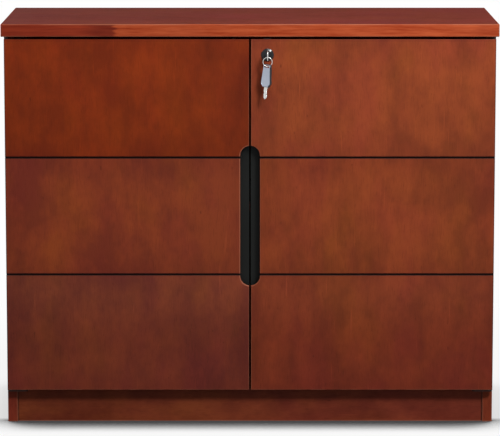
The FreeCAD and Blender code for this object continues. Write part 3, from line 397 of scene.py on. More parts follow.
def veneer(name, node, grain, pale, deep, seed, sheen=0.42, shine=0.1, wear_and_highlight_share=0.5, dress=None):
    """Stained and lacquered veneer for one board; dress may repaint it before the shader."""
    material, start = new_finish(name)
    place = wandering(start, BOARD_DRIFT)
    layer = {
        kind: grain_layer(place, grain, across, along, seed + step, detail, rough)
        for kind, (across, along, step, detail, rough) in LAYERS.items()}
    mark = {kind: ramp(layer[kind], *between) for kind, between in SHOWS.items()}
    tone = 0.5
    for kind, amount in TONE.items():
        tone = tone + amount * (layer[kind] - 0.5)
    colour = blend(tone, deep, pale)
    colour = tinted(ramp(layer["warmth"], *TANNED), colour, STAIN_TAN)
    colour = tinted(ramp(layer["warmth"], *REDDENED), colour, STAIN_RED)
    light = tuple(min(1.0, part * LIGHTER) for part in pale[:3]) + (1.0,)
    dark = tuple(part * DARKER for part in deep[:3]) + (1.0,)
    colour = blend(mark["fleck"] * FLECK_SHARE, colour, light)
    colour = blend(mark["pore"] * PORE_SHARE, colour, dark)
    colour = blend(mark["pin"] * PIN_SHARE, colour, dark)
    parts, inside = from_middle(start, *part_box(node))
    # Pale arrises: partly sanded wear, partly a painted highlight of the rounded edges.
    wear_and_highlight = near_edge(inside, ARRIS_WIDE) * mark["worn_and_lit"]
    if dress:
        colour, wear_and_highlight = dress(parts, inside, colour, wear_and_highlight)
    colour = blend(wear_and_highlight * wear_and_highlight_share, colour, SANDED_AND_HIGHLIGHT)
    gloss = sheen + STREAK_GLOSS * (layer["streak"] - 0.5) + PORE_GLOSS * mark["pore"]
    height = layer["streak"] * STREAK_RELIEF - mark["pore"]
    relief = start.node(
        "ShaderNodeBump", {}, {"Strength": RELIEF_STRENGTH, "Distance": RELIEF_DEEP, "Height": height})
    surface = start.node("ShaderNodeBsdfPrincipled", {}, {
        "Base Color": colour, "Roughness": gloss, "Normal": relief, "Specular IOR Level": shine})
    start.node("ShaderNodeOutputMaterial", {}, {"Surface": surface})
    wear(node, material)


print("arrises are sanded", ARRIS_WIDE * 1000, "mm wide")

# %% [markdown]
# Two grooves part each door into three fields, and each field has a tint of its own. The lowest field
# has painted light at its head and painted shade towards the floor, as the light falls off down the
# door. The inner part of a door may be deeper than the outer, and every field deepens towards its
# borders, in a ragged line that noise moves. All this stays on the front part of the board: the back
# of a door is plain.

# %% Fields of a door
door_low, door_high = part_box("left_door")
DOOR_TALL = door_high.z - door_low.z
GROOVES = (door_low.z + DOOR_TALL / 3, door_low.z + DOOR_TALL * 2 / 3)
# The outermost borders lie beyond the board.
BORDERS = (0.0, *GROOVES, 1.0)
FIELD_SOFT = 0.0005
LOW_LIT_HEAD = (1.22, 1.45, 1.42)
LOW_SHADED_FOOT = (0.93, 0.94, 0.97)
LOW_TURN = door_low.z + 0.35 * (GROOVES[0] - door_low.z)
INNER_PART = (0.3, 0.02)
# A deeper stain tint; it also paints shade at the top of the doors and beside the grooves.
DEEP_STAIN_AND_SHADE = (0.8, 0.72, 0.86)
BORDER_WIDE, BORDER_RAGGED, BORDER_SHARE = 0.06, 0.09, 0.6
BORDER_DRIFT = 0.03
BORDER_CELLS = (12, 7)


def stain_fields(parts, inside, colour, front, tints, inner, seed):
    """Tints of the fields from the lowest up, painted light and shade at the lowest one's head and foot,
    inner part, borders.
    """
    along = parts.output("Z")
    for tint, low, high in zip(tints, BORDERS[:-1], BORDERS[1:]):
        over_low = ramp(along, low - FIELD_SOFT, low + FIELD_SOFT)
        under_high = ramp(along, high + FIELD_SOFT, high - FIELD_SOFT)
        colour = tinted(over_low * under_high * front, colour, tint)
    low_field = ramp(along, GROOVES[0] + FIELD_SOFT, GROOVES[0] - FIELD_SOFT) * front
    # Painted light at the head of the lowest field and painted shade towards its foot.
    lit_head = ramp(along, LOW_TURN, GROOVES[0])
    colour = tinted(low_field * lit_head, colour, LOW_LIT_HEAD)
    colour = tinted(low_field * (1 - lit_head), colour, LOW_SHADED_FOOT)
    inwards = ramp(parts.maths("ABSOLUTE", parts.output("X")), *INNER_PART) * (front - low_field)
    colour = tinted(inwards, colour, inner)
    edge = parts.maths("MINIMUM", inside[0], inside[2])
    for height in GROOVES:
        edge = parts.maths("MINIMUM", edge, parts.maths("ABSOLUTE", along - height))
    drawn = grain_layer(wandering(parts, BORDER_DRIFT), UPRIGHT, *BORDER_CELLS, seed)
    border = ramp(edge - BORDER_RAGGED * (drawn - 0.5), BORDER_WIDE, 0.0)
    return tinted(border * front * BORDER_SHARE, colour, DEEP_STAIN_AND_SHADE)


print("grooves at", [round(height, 4) for height in GROOVES])

# %% [markdown]
# The grooves are cut in the model. Here they are stained nearly black, and the black also paints the
# shade inside them; painted shade lies beside them and a painted highlight on the arris below. The rim
# of the handle opening gets a painted highlight too, and it lies at one distance from a line: the
# opening is a slot with round ends. The upper edges get painted shade under the top and the outer
# edges painted shade on their rounded arrises; the edges that meet are painted black for the shade
# in the gap between the doors.

# %% Lines of a door
# Nearly black: a stain, and painted shade in the grooves, the gap between the doors and the plinth's
# corners.
BLACK_STAIN_AND_SHADE = srgb(24, 9, 8)
TOP_SHADE = 0.006
OUTER_SHADE = (0.5, 0.45, 0.5)
OUTER_LINE, OUTER_PART = (0.0024, 0.0008), (0.3, 0.4)
GROOVE_HALF = 0.0021
GROOVE_LINE = (GROOVE_HALF + 0.001, GROOVE_HALF - 0.0008)
GROOVE_SHADE, GROOVE_UNWORN_UNLIT = (0.005, 0.0015), (0.005, 0.003)
LOWER_ARRIS_FROM = (GROOVE_HALF, GROOVE_HALF + 0.0004)
LOWER_ARRIS_TO = (GROOVE_HALF + 0.0018, GROOVE_HALF + 0.0006)
LOWER_ARRIS_HIGHLIGHT_SHARE = 0.25
HANDLE_MIDDLE = (door_low.z + door_high.z) / 2
HANDLE_RUN = 0.1206
HANDLE_RADIUS = 0.0194
RIM_LINE = (HANDLE_RADIUS + 0.0024, HANDLE_RADIUS + 0.001)
MEETING_HALF = -door_high.x
MEETING_LINE = (MEETING_HALF + 0.0009, MEETING_HALF + 0.0005)
MEETING_SHADE_SHARE = 0.8


def stain_lines(parts, inside, colour, wear_and_highlight, front, rim_highlight):
    """Painted shade on edges and in grooves, painted highlights below the grooves and on the rim, which is
    where the distance from the handle's line is a radius.
    """
    along, across = parts.output("Z"), parts.output("X")
    from_meeting = parts.maths("ABSOLUTE", across)
    # Painted shade: the upper edge of each door darkens under the overhang of the top.
    shaded = ramp(inside[2], TOP_SHADE, 0.0) * ramp(along, HANDLE_MIDDLE, door_high.z)
    colour = tinted(shaded, colour, DEEP_STAIN_AND_SHADE)
    # Painted shade on the rounded outer arrises of the doors.
    outer = ramp(inside[0], *OUTER_LINE) * ramp(from_meeting, *OUTER_PART)
    colour = tinted(outer * front, colour, OUTER_SHADE)
    wear_and_highlight = wear_and_highlight * (1 - shaded) * (1 - outer)
    uncut = 1.0
    for height in GROOVES:
        beside = parts.maths("ABSOLUTE", along - height)
        # Each groove is stained nearly black, which also paints the shade in it; the deeper tint beside it
        # is painted shade.
        cut = ramp(beside, *GROOVE_LINE) * front
        colour = tinted(ramp(beside, *GROOVE_SHADE) * front, colour, DEEP_STAIN_AND_SHADE)
        colour = blend(cut, colour, BLACK_STAIN_AND_SHADE)
        uncut = uncut * (1 - cut)
        # Painted highlight on the arris below each groove.
        under = height - along
        lower_highlight = ramp(under, *LOWER_ARRIS_FROM) * ramp(under, *LOWER_ARRIS_TO)
        wear_and_highlight = wear_and_highlight * (1 - ramp(beside, *GROOVE_UNWORN_UNLIT)) + LOWER_ARRIS_HIGHLIGHT_SHARE * lower_highlight * front
    past = parts.maths("MAXIMUM", parts.maths("ABSOLUTE", along - HANDLE_MIDDLE) - HANDLE_RUN, 0.0)
    reach = parts.maths("SQRT", across * across + past * past)
    # Painted highlight on the rounded rim of the handle opening.
    rim = ramp(reach, *RIM_LINE) * rim_highlight * uncut
    # Painted shade: the edges where the doors meet are painted black for the shade in the gap.
    meeting = ramp(from_meeting, *MEETING_LINE)
    colour = blend(meeting * MEETING_SHADE_SHARE, colour, BLACK_STAIN_AND_SHADE)
    return colour, parts.maths("MAXIMUM", wear_and_highlight, rim) * (1 - meeting)


print("doors meet with a gap of", round(2000 * MEETING_HALF, 1), "mm")

# %% [markdown]
# The doors come out of one function, so that they look alike and yet not the same: the left one is
# redder at the top and deeper towards the middle, and the rim of its half of the handle has a stronger
# painted highlight.

# %% Doors
PAINT_ENDS = (0.012, 0.008)
NO_TINT = (1.0, 1.0, 1.0)


def door_dress(tints, inner, rim_highlight, seed):
    """The dress of a door: tints of its fields from the lowest up and of its inner part, the painted
    highlight of its rim.
    """

    def dress(parts, inside, colour, wear_and_highlight):
        front = ramp(parts.output("Y") - door_low.y, *PAINT_ENDS)
        colour = stain_fields(parts, inside, colour, front, tints, inner, seed)
        return stain_lines(parts, inside, colour, wear_and_highlight, front, rim_highlight)

    return dress


# The field tints hold the stain's own differences and, in part, painted shade: the lowest fields are darker.
left_dress = door_dress(
    [(0.84, 0.9, 1.2), (1.1, 1.13, 1.15), (1.03, 0.79, 0.4)],
    inner=(0.8, 0.84, 0.92), rim_highlight=1.35, seed=61.0)
right_dress = door_dress(
    [(0.9, 0.8, 1.0), (1.07, 1.13, 1.16), (1.1, 1.18, 1.22)],
    inner=NO_TINT, rim_highlight=0.65, seed=67.0)
veneer("left_door_veneer", "left_door", UPRIGHT, srgb(150, 66, 36), srgb(121, 51, 32), seed=2.0,
       dress=left_dress)
veneer("right_door_veneer", "right_door", UPRIGHT, srgb(152, 69, 36), srgb(124, 55, 30), seed=31.0,
       dress=right_dress)
print("doors finished")

# %% [markdown]
# The other boards only differ in tone and grain, which runs along the length of each: up the sides
# and the back, across the plinth, bottom and shelf, and from front to back on the brace. The plinth
# gets painted shade in a dark line at both ends, in the corners where it meets the side panels, and
# the back is duller than the rest.

# %% Other boards
END_LINE, END_SHADE_SHARE = (0.004, 0.001), 0.75


def plinth_dress(parts, inside, colour, wear_and_highlight):
    """Painted shade in a dark line at both ends, where the distance inside the end faces is small."""
    # Painted shade in the corners where the plinth meets the side panels.
    return blend(ramp(inside[0], *END_LINE) * END_SHADE_SHARE, colour, BLACK_STAIN_AND_SHADE), wear_and_highlight


veneer("left_side_veneer", "left_side_panel", UPRIGHT, srgb(150, 62, 40), srgb(118, 44, 28), seed=12.0)
veneer("right_side_veneer", "right_side_panel", UPRIGHT, srgb(150, 66, 40), srgb(118, 46, 28), seed=47.0)
veneer("plinth_veneer", "plinth_front", SIDEWAYS, srgb(146, 68, 42), srgb(112, 46, 30), seed=19.0,
       dress=plinth_dress)
veneer("rear_plinth_veneer", "plinth_rear", SIDEWAYS, srgb(140, 62, 40), srgb(108, 44, 28), seed=23.0)
veneer("brace_veneer", "plinth_brace", INWARDS, srgb(140, 62, 40), srgb(108, 44, 28), seed=27.0)
veneer("bottom_veneer", "bottom_panel", SIDEWAYS, srgb(146, 66, 42), srgb(114, 46, 30), seed=35.0)
veneer("shelf_veneer", "shelf", SIDEWAYS, srgb(148, 66, 42), srgb(116, 46, 30), seed=39.0)
veneer("back_veneer", "back_panel", UPRIGHT, srgb(136, 62, 42), srgb(106, 44, 30), seed=43.0, sheen=0.55)
print("boards finished")

# %% [markdown]
# The top is the same wood with two differences. Its surface takes a browner, duller stain, and its
# edge is covered by a strip of brighter, streaky wood with the grain running sideways. On the real
# one the strip is pieced: nearly a quarter at the left is a redder length, which darkens towards the
# joint. Both are painted by place, and the arrises of the strip are painted pale, as sanded wood and
# as a painted highlight.

# %% Top and its edge strip
PIECED_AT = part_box("top_panel")[0].x + 0.224
STRIP_DEEP = 0.0016
STRIP_LINE = (STRIP_DEEP, STRIP_DEEP * 0.6)
STRIP_DRIFT = 0.012
STRIP_CELLS, STRIP_CONTRAST = (150, 11, 71.0, 4, 0.65), 2.4
PATCH_CELLS, PATCH_SHOWS, PATCH_TINT = (22, 7, 77.0), (0.5, 0.35), (0.84, 0.78, 0.82)
ORANGE_DEEP, ORANGE_PALE = srgb(152, 54, 27), srgb(198, 94, 56)
RED_DEEP, RED_PALE = srgb(126, 43, 29), srgb(158, 61, 38)
RED_DARKENS, RED_END = (PIECED_AT - 0.075, PIECED_AT - 0.03), (0.74, 0.76, 0.86)
JOINT_LINE, JOINT_RAGGED = (PIECED_AT + 0.006, PIECED_AT - 0.006), 0.02


def top_dress(parts, inside, colour, wear_and_highlight):
    """The edge strip: every point close to a side face, apart from the top and bottom faces."""
    place = wandering(parts, STRIP_DRIFT)
    across = parts.output("X")
    figure = 0.5 + STRIP_CONTRAST * (grain_layer(place, SIDEWAYS, *STRIP_CELLS) - 0.5)
    patch = ramp(grain_layer(place, SIDEWAYS, *PATCH_CELLS), *PATCH_SHOWS)
    orange = tinted(patch, blend(figure, ORANGE_DEEP, ORANGE_PALE), PATCH_TINT)
    red = tinted(ramp(across, *RED_DARKENS), blend(figure, RED_DEEP, RED_PALE), RED_END)
    joint = ramp(across + JOINT_RAGGED * (figure - 0.5), *JOINT_LINE)
    edge = ramp(parts.maths("MINIMUM", inside[0], inside[1]), *STRIP_LINE)
    return blend(edge, colour, blend(joint, orange, red)), wear_and_highlight


# The top's arrises are painted pale more strongly: sanded wear and a painted highlight.
veneer("top_veneer", "top_panel", SIDEWAYS, srgb(120, 48, 37), srgb(108, 42, 31), seed=53.0,
       sheen=0.7, shine=0.01, wear_and_highlight_share=0.8, dress=top_dress)
print("edge strip is pieced at x =", round(PIECED_AT, 3))

# %% [markdown]
# The handle lining and the bumpers are plain black mouldings, and the hinge brackets are lacquered
# brown, but no such part is flat: a moulded surface has a fine spark texture that breaks up the
# reflections, and lacquered steel has a faint ripple. A speckle in the roughness and a shallow bump
# give both.

# %% Plastics and lacquer
BROAD_CELLS = 18.0
BROAD_TONE, SPECK_TONE = 1.4, 0.5
BROAD_GLOSS, SPECK_GLOSS = 0.1, 0.2
SPECK_DEEP = 0.0002


def speckled(name, pale, deep, cells, sheen, shine, bump, nodes=()):
    """A moulded or lacquered finish: two close tones, and a fine speckle in sheen and height."""
    material, start = new_finish(name)
    place = start.node("ShaderNodeTexCoord", output="Object")
    broad = start.node("ShaderNodeTexNoise", {}, {"Vector": place, "Scale": BROAD_CELLS, "Detail": 3.0})
    fine = start.node("ShaderNodeTexNoise", {}, {"Vector": place, "Scale": cells, "Detail": 2.0})
    colour = blend(0.5 + BROAD_TONE * (broad - 0.5) + SPECK_TONE * (fine - 0.5), deep, pale)
    gloss = sheen + SPECK_GLOSS * (fine - 0.5) + BROAD_GLOSS * (broad - 0.5)
    relief = start.node("ShaderNodeBump", {}, {"Strength": bump, "Distance": SPECK_DEEP, "Height": fine})
    surface = start.node("ShaderNodeBsdfPrincipled", {}, {
        "Base Color": colour, "Roughness": gloss, "Normal": relief, "Specular IOR Level": shine})
    start.node("ShaderNodeOutputMaterial", {}, {"Surface": surface})
    for node in nodes:
        wear(node, material)
    return material


speckled("handle_plastic", srgb(31, 32, 31), srgb(21, 22, 21), cells=2600.0, sheen=0.5, shine=0.1,
         bump=0.22, nodes=["left_handle_insert", "right_handle_insert"])
speckled("bumper_plastic", srgb(52, 52, 52), srgb(38, 38, 38), cells=1500.0, sheen=0.6, shine=0.2,
         bump=0.3, nodes=["left_bumpers", "right_bumpers"])
speckled("hinge_lacquer", srgb(64, 35, 28), srgb(48, 26, 21), cells=900.0, sheen=0.42, shine=0.15,
         bump=0.2, nodes=["left_bottom_pivot", "right_bottom_pivot", "left_top_pivot", "right_top_pivot"])
speckled("nylon", srgb(222, 219, 209), srgb(206, 202, 190), cells=1200.0, sheen=0.5, shine=0.4,
         bump=0.15, nodes=["pivot_washers"])
gloss_black = speckled("lock_lacquer", srgb(20, 20, 21), srgb(12, 12, 13),
                       cells=1400.0, sheen=0.14, shine=0.32, bump=0.04)
head_plastic = speckled("key_head_plastic", srgb(54, 56, 59), srgb(40, 42, 45),
                        cells=2200.0, sheen=0.42, shine=0.3, bump=0.2)
print("plastics and lacquers finished")

# %% [markdown]
# Pressed and rolled metal shows lines from the rolls. Noise that is squeezed hard across one
# direction gives those lines, and it drives the roughness much more than the colour, as on real
# steel, where the lines are only seen in the highlights.

# %% Metals
ROLL_CELLS = (2600, 70, 5.0, 2)
BLOTCH_CELLS = 60.0
ROLL_TONE, BLOTCH_TONE = 0.8, 0.9
ROLL_GLOSS, BLOTCH_GLOSS = 0.3, 0.12
ROLL_STRENGTH, ROLL_DEEP = 0.12, 0.0001


def rolled(name, pale, deep, lines, sheen, nodes=()):
    """Rolled metal: fine lines along one direction that change sheen, tone and height."""
    material, start = new_finish(name)
    place = start.node("ShaderNodeTexCoord", output="Object")
    line = grain_layer(place, lines, *ROLL_CELLS)
    blotch = start.node("ShaderNodeTexNoise", {}, {"Vector": place, "Scale": BLOTCH_CELLS, "Detail": 3.0})
    colour = blend(0.5 + ROLL_TONE * (line - 0.5) + BLOTCH_TONE * (blotch - 0.5), deep, pale)
    gloss = sheen + ROLL_GLOSS * (line - 0.5) + BLOTCH_GLOSS * (blotch - 0.5)
    relief = start.node(
        "ShaderNodeBump", {}, {"Strength": ROLL_STRENGTH, "Distance": ROLL_DEEP, "Height": line})
    surface = start.node("ShaderNodeBsdfPrincipled", {}, {
        "Base Color": colour, "Roughness": gloss, "Normal": relief, "Metallic": 1.0})
    start.node("ShaderNodeOutputMaterial", {}, {"Surface": surface})
    for node in nodes:
        wear(node, material)
    return material


rolled("zinc_steel", srgb(196, 198, 200), srgb(158, 160, 163), UPRIGHT, sheen=0.34, nodes=[
    "cam_bolts", "carcass_screws", "left_door_screws", "right_door_screws", "shelf_pins",
    "lock_strike", "bolt_strike", "left_bolt"])
rolled("leaf_steel", srgb(170, 172, 175), srgb(132, 134, 138), SIDEWAYS, sheen=0.36, nodes=[
    "left_top_leaf", "left_bottom_leaf", "right_top_leaf", "right_bottom_leaf",
    "left_bolt_guide", "lock_case", "lock_bolt", "cam_fasteners"])
rolled("plug_steel", srgb(58, 59, 61), srgb(38, 39, 41), SIDEWAYS, sheen=0.3, nodes=["lock_plug"])
key_steel = rolled("key_nickel", srgb(226, 226, 222), srgb(190, 190, 188), UPRIGHT, sheen=0.24)
plate_metal = rolled("plate_aluminium", srgb(186, 192, 206), srgb(158, 165, 180), UPRIGHT, sheen=0.42)
print("metals finished")

# %% [markdown]
# The dowels are beech: pale, with short darker rays along the length. They only show when a board
# is taken off, but they get their own grain all the same.

# %% Dowels
DOWEL_DRIFT = 0.004
RAY_CELLS, RAY_SHOWS, RAY_SHARE = (900, 160, 3.0, 2), (0.5, 0.7), 0.5
BAND_CELLS = (260, 14, 4.0, 4)
DOWEL_SHEEN, RAY_GLOSS = 0.6, 0.2

beech, start = new_finish("beech")
place = wandering(start, DOWEL_DRIFT)
ray = ramp(grain_layer(place, SIDEWAYS, *RAY_CELLS), *RAY_SHOWS)
band = grain_layer(place, SIDEWAYS, *BAND_CELLS)
pale_wood = blend(band, srgb(196, 160, 118), srgb(222, 190, 150))
colour = blend(ray * RAY_SHARE, pale_wood, srgb(150, 108, 72))
surface = start.node(
    "ShaderNodeBsdfPrincipled", {}, {"Base Color": colour, "Roughness": DOWEL_SHEEN + RAY_GLOSS * ray})
start.node("ShaderNodeOutputMaterial", {}, {"Surface": surface})
wear("carcass_dowels", beech)
print("dowels finished")

# %% [markdown]
# The small pieces at the lock are remade as surfaces. Each is a grid of points: one parameter runs
# round a closed loop, the other from loop to loop. Where the loops end in a single point the pole
# is closed by merging, and where the last loop meets the first the surface is a closed band.

# %% From a grid of points to a piece
MERGE_WITHIN = 2e-6
SHARP_FROM = math.radians(38)


def skin(name, points, band, material, body, slot, *nodes):
    """A mesh from loops of points, an array of loops by points by 3; band joins last to first."""
    loops, around = points.shape[:2]
    row = np.arange(loops if band else loops - 1)[:, None]
    column = np.arange(around)[None, :]
    following = (row + 1) % loops
    beside = (column + 1) % around
    corners = [row * around + column, row * around + beside,
               following * around + beside, following * around + column]
    faces = np.stack(np.broadcast_arrays(*corners), axis=-1).reshape(-1, 4)
    mesh = bpy.data.meshes.new(name)
    mesh.from_pydata(points.reshape(-1, 3).tolist(), [], faces.tolist())
    edit = bmesh.new()
    edit.from_mesh(mesh)
    bmesh.ops.remove_doubles(edit, verts=edit.verts, dist=MERGE_WITHIN)
    bmesh.ops.recalc_face_normals(edit, faces=edit.faces)
    edit.to_mesh(mesh)
    edit.free()
    mesh.polygons.foreach_set("use_smooth", np.ones(len(mesh.polygons), bool))
    mesh.set_sharp_from_angle(angle=SHARP_FROM)
    mesh.materials.append(material)
    piece = bpy.data.objects.new(name, mesh)
    bpy.context.collection.objects.link(piece)
    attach(piece, body)
    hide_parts(*nodes)
    print(name, "has", len(mesh.polygons), "faces")


print("points nearer than", MERGE_WITHIN, "m are merged")

# %% [markdown]
# Stamped, moulded and turned pieces have rounded corners and bevelled edges. So a loop is drawn with
# sharp corners first, a parabola rounds each of them, and moving the loop in or out along its normals
# gives the bevels.

# %% Rounded and grown loops
CORNER_POINTS = 7


def soft_corners(corners, reach):
    """A loop whose corners are rounded: at each corner a parabola between two points of its sides."""
    corners = np.asarray(corners, float)
    before = np.roll(corners, 1, axis=0) - corners
    after = np.roll(corners, -1, axis=0) - corners
    reach = np.asarray(reach, float)[:, None]
    first = corners + before / np.linalg.norm(before, axis=1, keepdims=True) * reach
    last = corners + after / np.linalg.norm(after, axis=1, keepdims=True) * reach
    s = np.linspace(0, 1, CORNER_POINTS)[None, :, None]
    arcs = (1 - s) ** 2 * first[:, None] + 2 * s * (1 - s) * corners[:, None] + s ** 2 * last[:, None]
    return arcs.reshape(-1, 2)


def grown(loop, amount):
    """A loop moved outwards: each point goes along the normal of its two neighbours' chord."""
    chord = np.roll(loop, -1, axis=0) - np.roll(loop, 1, axis=0)
    normal = np.stack([chord[:, 1], -chord[:, 0]], axis=1)
    normal /= np.linalg.norm(normal, axis=1, keepdims=True)
    turn = np.sum(loop[:, 0] * np.roll(loop[:, 1], -1) - np.roll(loop[:, 0], -1) * loop[:, 1])
    return loop + normal * amount * np.sign(turn)


print("a corner has", CORNER_POINTS, "points")

# %% [markdown]
# The lock's bezel is a turned ring: a low wall, a shoulder that rises as a cone, a lip, and a barrel
# behind it in the door. A profile of radius against height is drawn once, its corners are rounded,
# and it is spun round the lock's axis. The cone is what catches the key lamp at the upper right.

# %% Lock bezel
bezel_low, bezel_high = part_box("lock_bezel")
LOCK = np.array([(bezel_low.x + bezel_high.x) / 2, door_low.y, (bezel_low.z + bezel_high.z) / 2])
BEZEL_RADIUS = (bezel_high.x - bezel_low.x) / 2
BEZEL_PROUD = door_low.y - bezel_low.y
BEZEL_WALL = 0.0014
LIP_RADIUS = 0.0077
BORE = 0.0066
BARREL = 0.00925
BARREL_BACK = door_low.y - bezel_high.y + 0.0002
BEZEL_ROUNDS = [0.0002, 0.0006, 0.0004, 0.0002, 0.0002, 0.0002, 0.0001]
BEZEL_STEPS = 96


def bezel_surface():
    """A closed loop of radius and height, spun: x and z are radius times cosine and sine."""
    profile = soft_corners(
        [(BEZEL_RADIUS, 0.0), (BEZEL_RADIUS, BEZEL_WALL), (LIP_RADIUS, BEZEL_PROUD), (BORE, BEZEL_PROUD),
         (BORE, BARREL_BACK), (BARREL, BARREL_BACK), (BARREL, 0.0)], BEZEL_ROUNDS)
    angle = np.linspace(0, 2 * math.pi, BEZEL_STEPS, endpoint=False)
    radius = profile[:, :1]
    return np.stack([LOCK[0] + radius * np.cos(angle), LOCK[1] - profile[:, 1:] + 0 * angle,
                     LOCK[2] + radius * np.sin(angle)], axis=-1)


skin("turned_bezel", bezel_surface(), True, gloss_black, "right_door", "black_plastic", "lock_bezel")

# %% [markdown]
# A plate with a hole is made of two loops with the same number of points, and a small section with
# bevelled corners is carried round between them: front face, outer edge, back face, edge of the hole.
# The result is a closed band. Each point of the hole lies in the direction of a point of the outline.

# %% Plates with a hole


def holed_plate(outer, inner, half, bevel):
    """Two loops carried through a bevelled section: a band of eight loops of (u, v, thickness)."""
    section = [(grown(inner, bevel), half), (grown(outer, -bevel), half),
               (outer, half - bevel), (outer, bevel - half),
               (grown(outer, -bevel), -half), (grown(inner, bevel), -half),
               (inner, bevel - half), (inner, half - bevel)]
    return np.stack([np.column_stack([loop, np.full(len(loop), level)]) for loop, level in section])


def facing(outer, centre, radius, power=2.0):
    """The hole's loop: for each outer point, the point of a squared circle in its direction."""
    radius = np.broadcast_to(np.asarray(radius, float), 2)
    angle = np.arctan2(outer[:, 1] - centre[1], outer[:, 0] - centre[0])
    direction = np.stack([np.cos(angle), np.sin(angle)], axis=1)
    length = np.sum(np.abs(direction / radius) ** power, axis=1) ** (-1 / power)
    return centre + direction * length[:, None]


def filled(loop, spacing):
    """The same loop with points no further apart than the spacing, by walking along it evenly."""
    closed = np.vstack([loop, loop[:1]])
    walked = np.concatenate([[0], np.cumsum(np.linalg.norm(np.diff(closed, axis=0), axis=1))])
    even = np.linspace(0, walked[-1], int(walked[-1] / spacing), endpoint=False)
    stops = np.unique(np.concatenate([even, walked[:-1]]).round(7))
    return np.stack([np.interp(stops, walked, closed[:, 0]), np.interp(stops, walked, closed[:, 1])], axis=1)


print("plates with a hole can be made")

# %% [markdown]
# The key in the lock is stamped from sheet: a bow with a hole for the ring, and a shank that goes into
# the plug. It stands upright in the lock, so its outline is drawn in depth and height.

# %% Key in the lock
key_low, key_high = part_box("door_key")
ring_low, ring_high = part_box("key_ring")
RING = np.array([(low + high) / 2 for low, high in zip(ring_low, ring_high)])
RING_WIRE = (ring_high.y - ring_low.y) / 2
RING_RADIUS = (ring_high.x - ring_low.x) / 2 - RING_WIRE
RING_PLAY = 0.0011
HOLE_RADIUS = 0.0028
BOW_END = key_low.y + 0.023
SHANK_HALF = 0.00425
SHANK_LOW, SHANK_HIGH = LOCK[2] - SHANK_HALF, LOCK[2] + SHANK_HALF
KEY_ROUNDS = [0.0075, 0.003, 0.001, 0.0012, 0.0012, 0.001, 0.003, 0.0075]
KEY_SPACING = 0.0012
KEY_HALF = (key_high.x - key_low.x) / 2
KEY_BEVEL = 0.0003

key_loop = filled(soft_corners(
    [(key_low.y, key_low.z), (BOW_END, key_low.z), (BOW_END, SHANK_LOW), (key_high.y, SHANK_LOW),
     (key_high.y, SHANK_HIGH), (BOW_END, SHANK_HIGH), (BOW_END, key_high.z), (key_low.y, key_high.z)],
    KEY_ROUNDS), KEY_SPACING)
hole_middle = np.array([RING[1], RING[2] + RING_RADIUS + HOLE_RADIUS - RING_PLAY])
key_hole = facing(key_loop, hole_middle, HOLE_RADIUS)
key_grid = holed_plate(key_loop, key_hole, KEY_HALF, KEY_BEVEL)
key_points = np.stack([LOCK[0] + key_grid[..., 2], key_grid[..., 0], key_grid[..., 1]], axis=-1)
skin("stamped_key", key_points, True, key_steel, "lock_plug", "steel", "door_key")

# %% [markdown]
# A key ring is a split ring: two turns of flattened wire that lie side by side. A ring of two turns
# is a path whose sideways shift changes from one side to the other half way round, and the wire's
# squared section is carried along it. The two ends taper to a point, so the wire is closed.

# %% Split ring
RING_STEPS, WIRE_STEPS = 241, 16
RING_START = math.radians(35)
RING_SWEEP = 4 * math.pi * 0.985
CROSSING_FROM, CROSSING_LONG = 0.44, 0.12
END_TAPER = 0.012
WIRE_SQUARE = 3
WIRE_TALL, WIRE_WIDE = 0.8, 0.94


def split_ring():
    """Path: angle grows through two turns; shift goes from -half to +half. Section: squared circle."""
    t = np.linspace(0, 1, RING_STEPS)[:, None]
    angle = RING_START + t * RING_SWEEP
    half = RING_WIRE / 2
    step = np.clip((t - CROSSING_FROM) / CROSSING_LONG, 0, 1)
    shift = half * (2 * step ** 2 * (3 - 2 * step) - 1)
    taper = np.clip(np.minimum(t, 1 - t) / END_TAPER, 0, 1) ** 0.5
    v = np.linspace(0, 2 * math.pi, WIRE_STEPS, endpoint=False)[None, :]
    square = (np.abs(np.cos(v)) ** WIRE_SQUARE + np.abs(np.sin(v)) ** WIRE_SQUARE) ** (-1 / WIRE_SQUARE)
    radius = RING_RADIUS + taper * RING_WIRE * WIRE_TALL * square * np.cos(v)
    side = shift + taper * half * WIRE_WIDE * square * np.sin(v)
    return np.stack([RING[0] + radius * np.cos(angle), RING[1] + side,
                     RING[2] + radius * np.sin(angle)], axis=-1)


skin("split_ring", split_ring(), False, key_steel, "key_ring", "steel", "key_ring")

# %% [markdown]
# The spare key hangs from the ring, turned to the left and leaning a little. Its head is moulded with
# a slot for the ring, its plate is left bare, and its blade is milled. All three are drawn flat about
# the place where the key hangs; a turn about the upright and a lean bring them to where they are.

# %% Head of the spare key
SPARE_TURN = math.radians(-35)
SPARE_LEAN = math.radians(4.5)
HANG = np.array([RING[0], RING[1], RING[2] - RING_RADIUS])
HEAD_HALF = 0.0018
HEAD_BEVEL = 0.0005
HEAD_NARROW, HEAD_WIDE = 0.0085, 0.012
HEAD_TOP, WAIST, SHOULDER, HEAD_LOW = 0.0043, -0.0347, -0.0377, -0.0407
HEAD_ROUNDS = [0.0022, 0.002, 0.001, 0.0009]
HEAD_SPACING = 0.001
SLOT_MIDDLE = np.array([0.0, 0.0001])
SLOT_HALF = (0.0065, 0.0022)
SLOT_SQUARE = 6.0


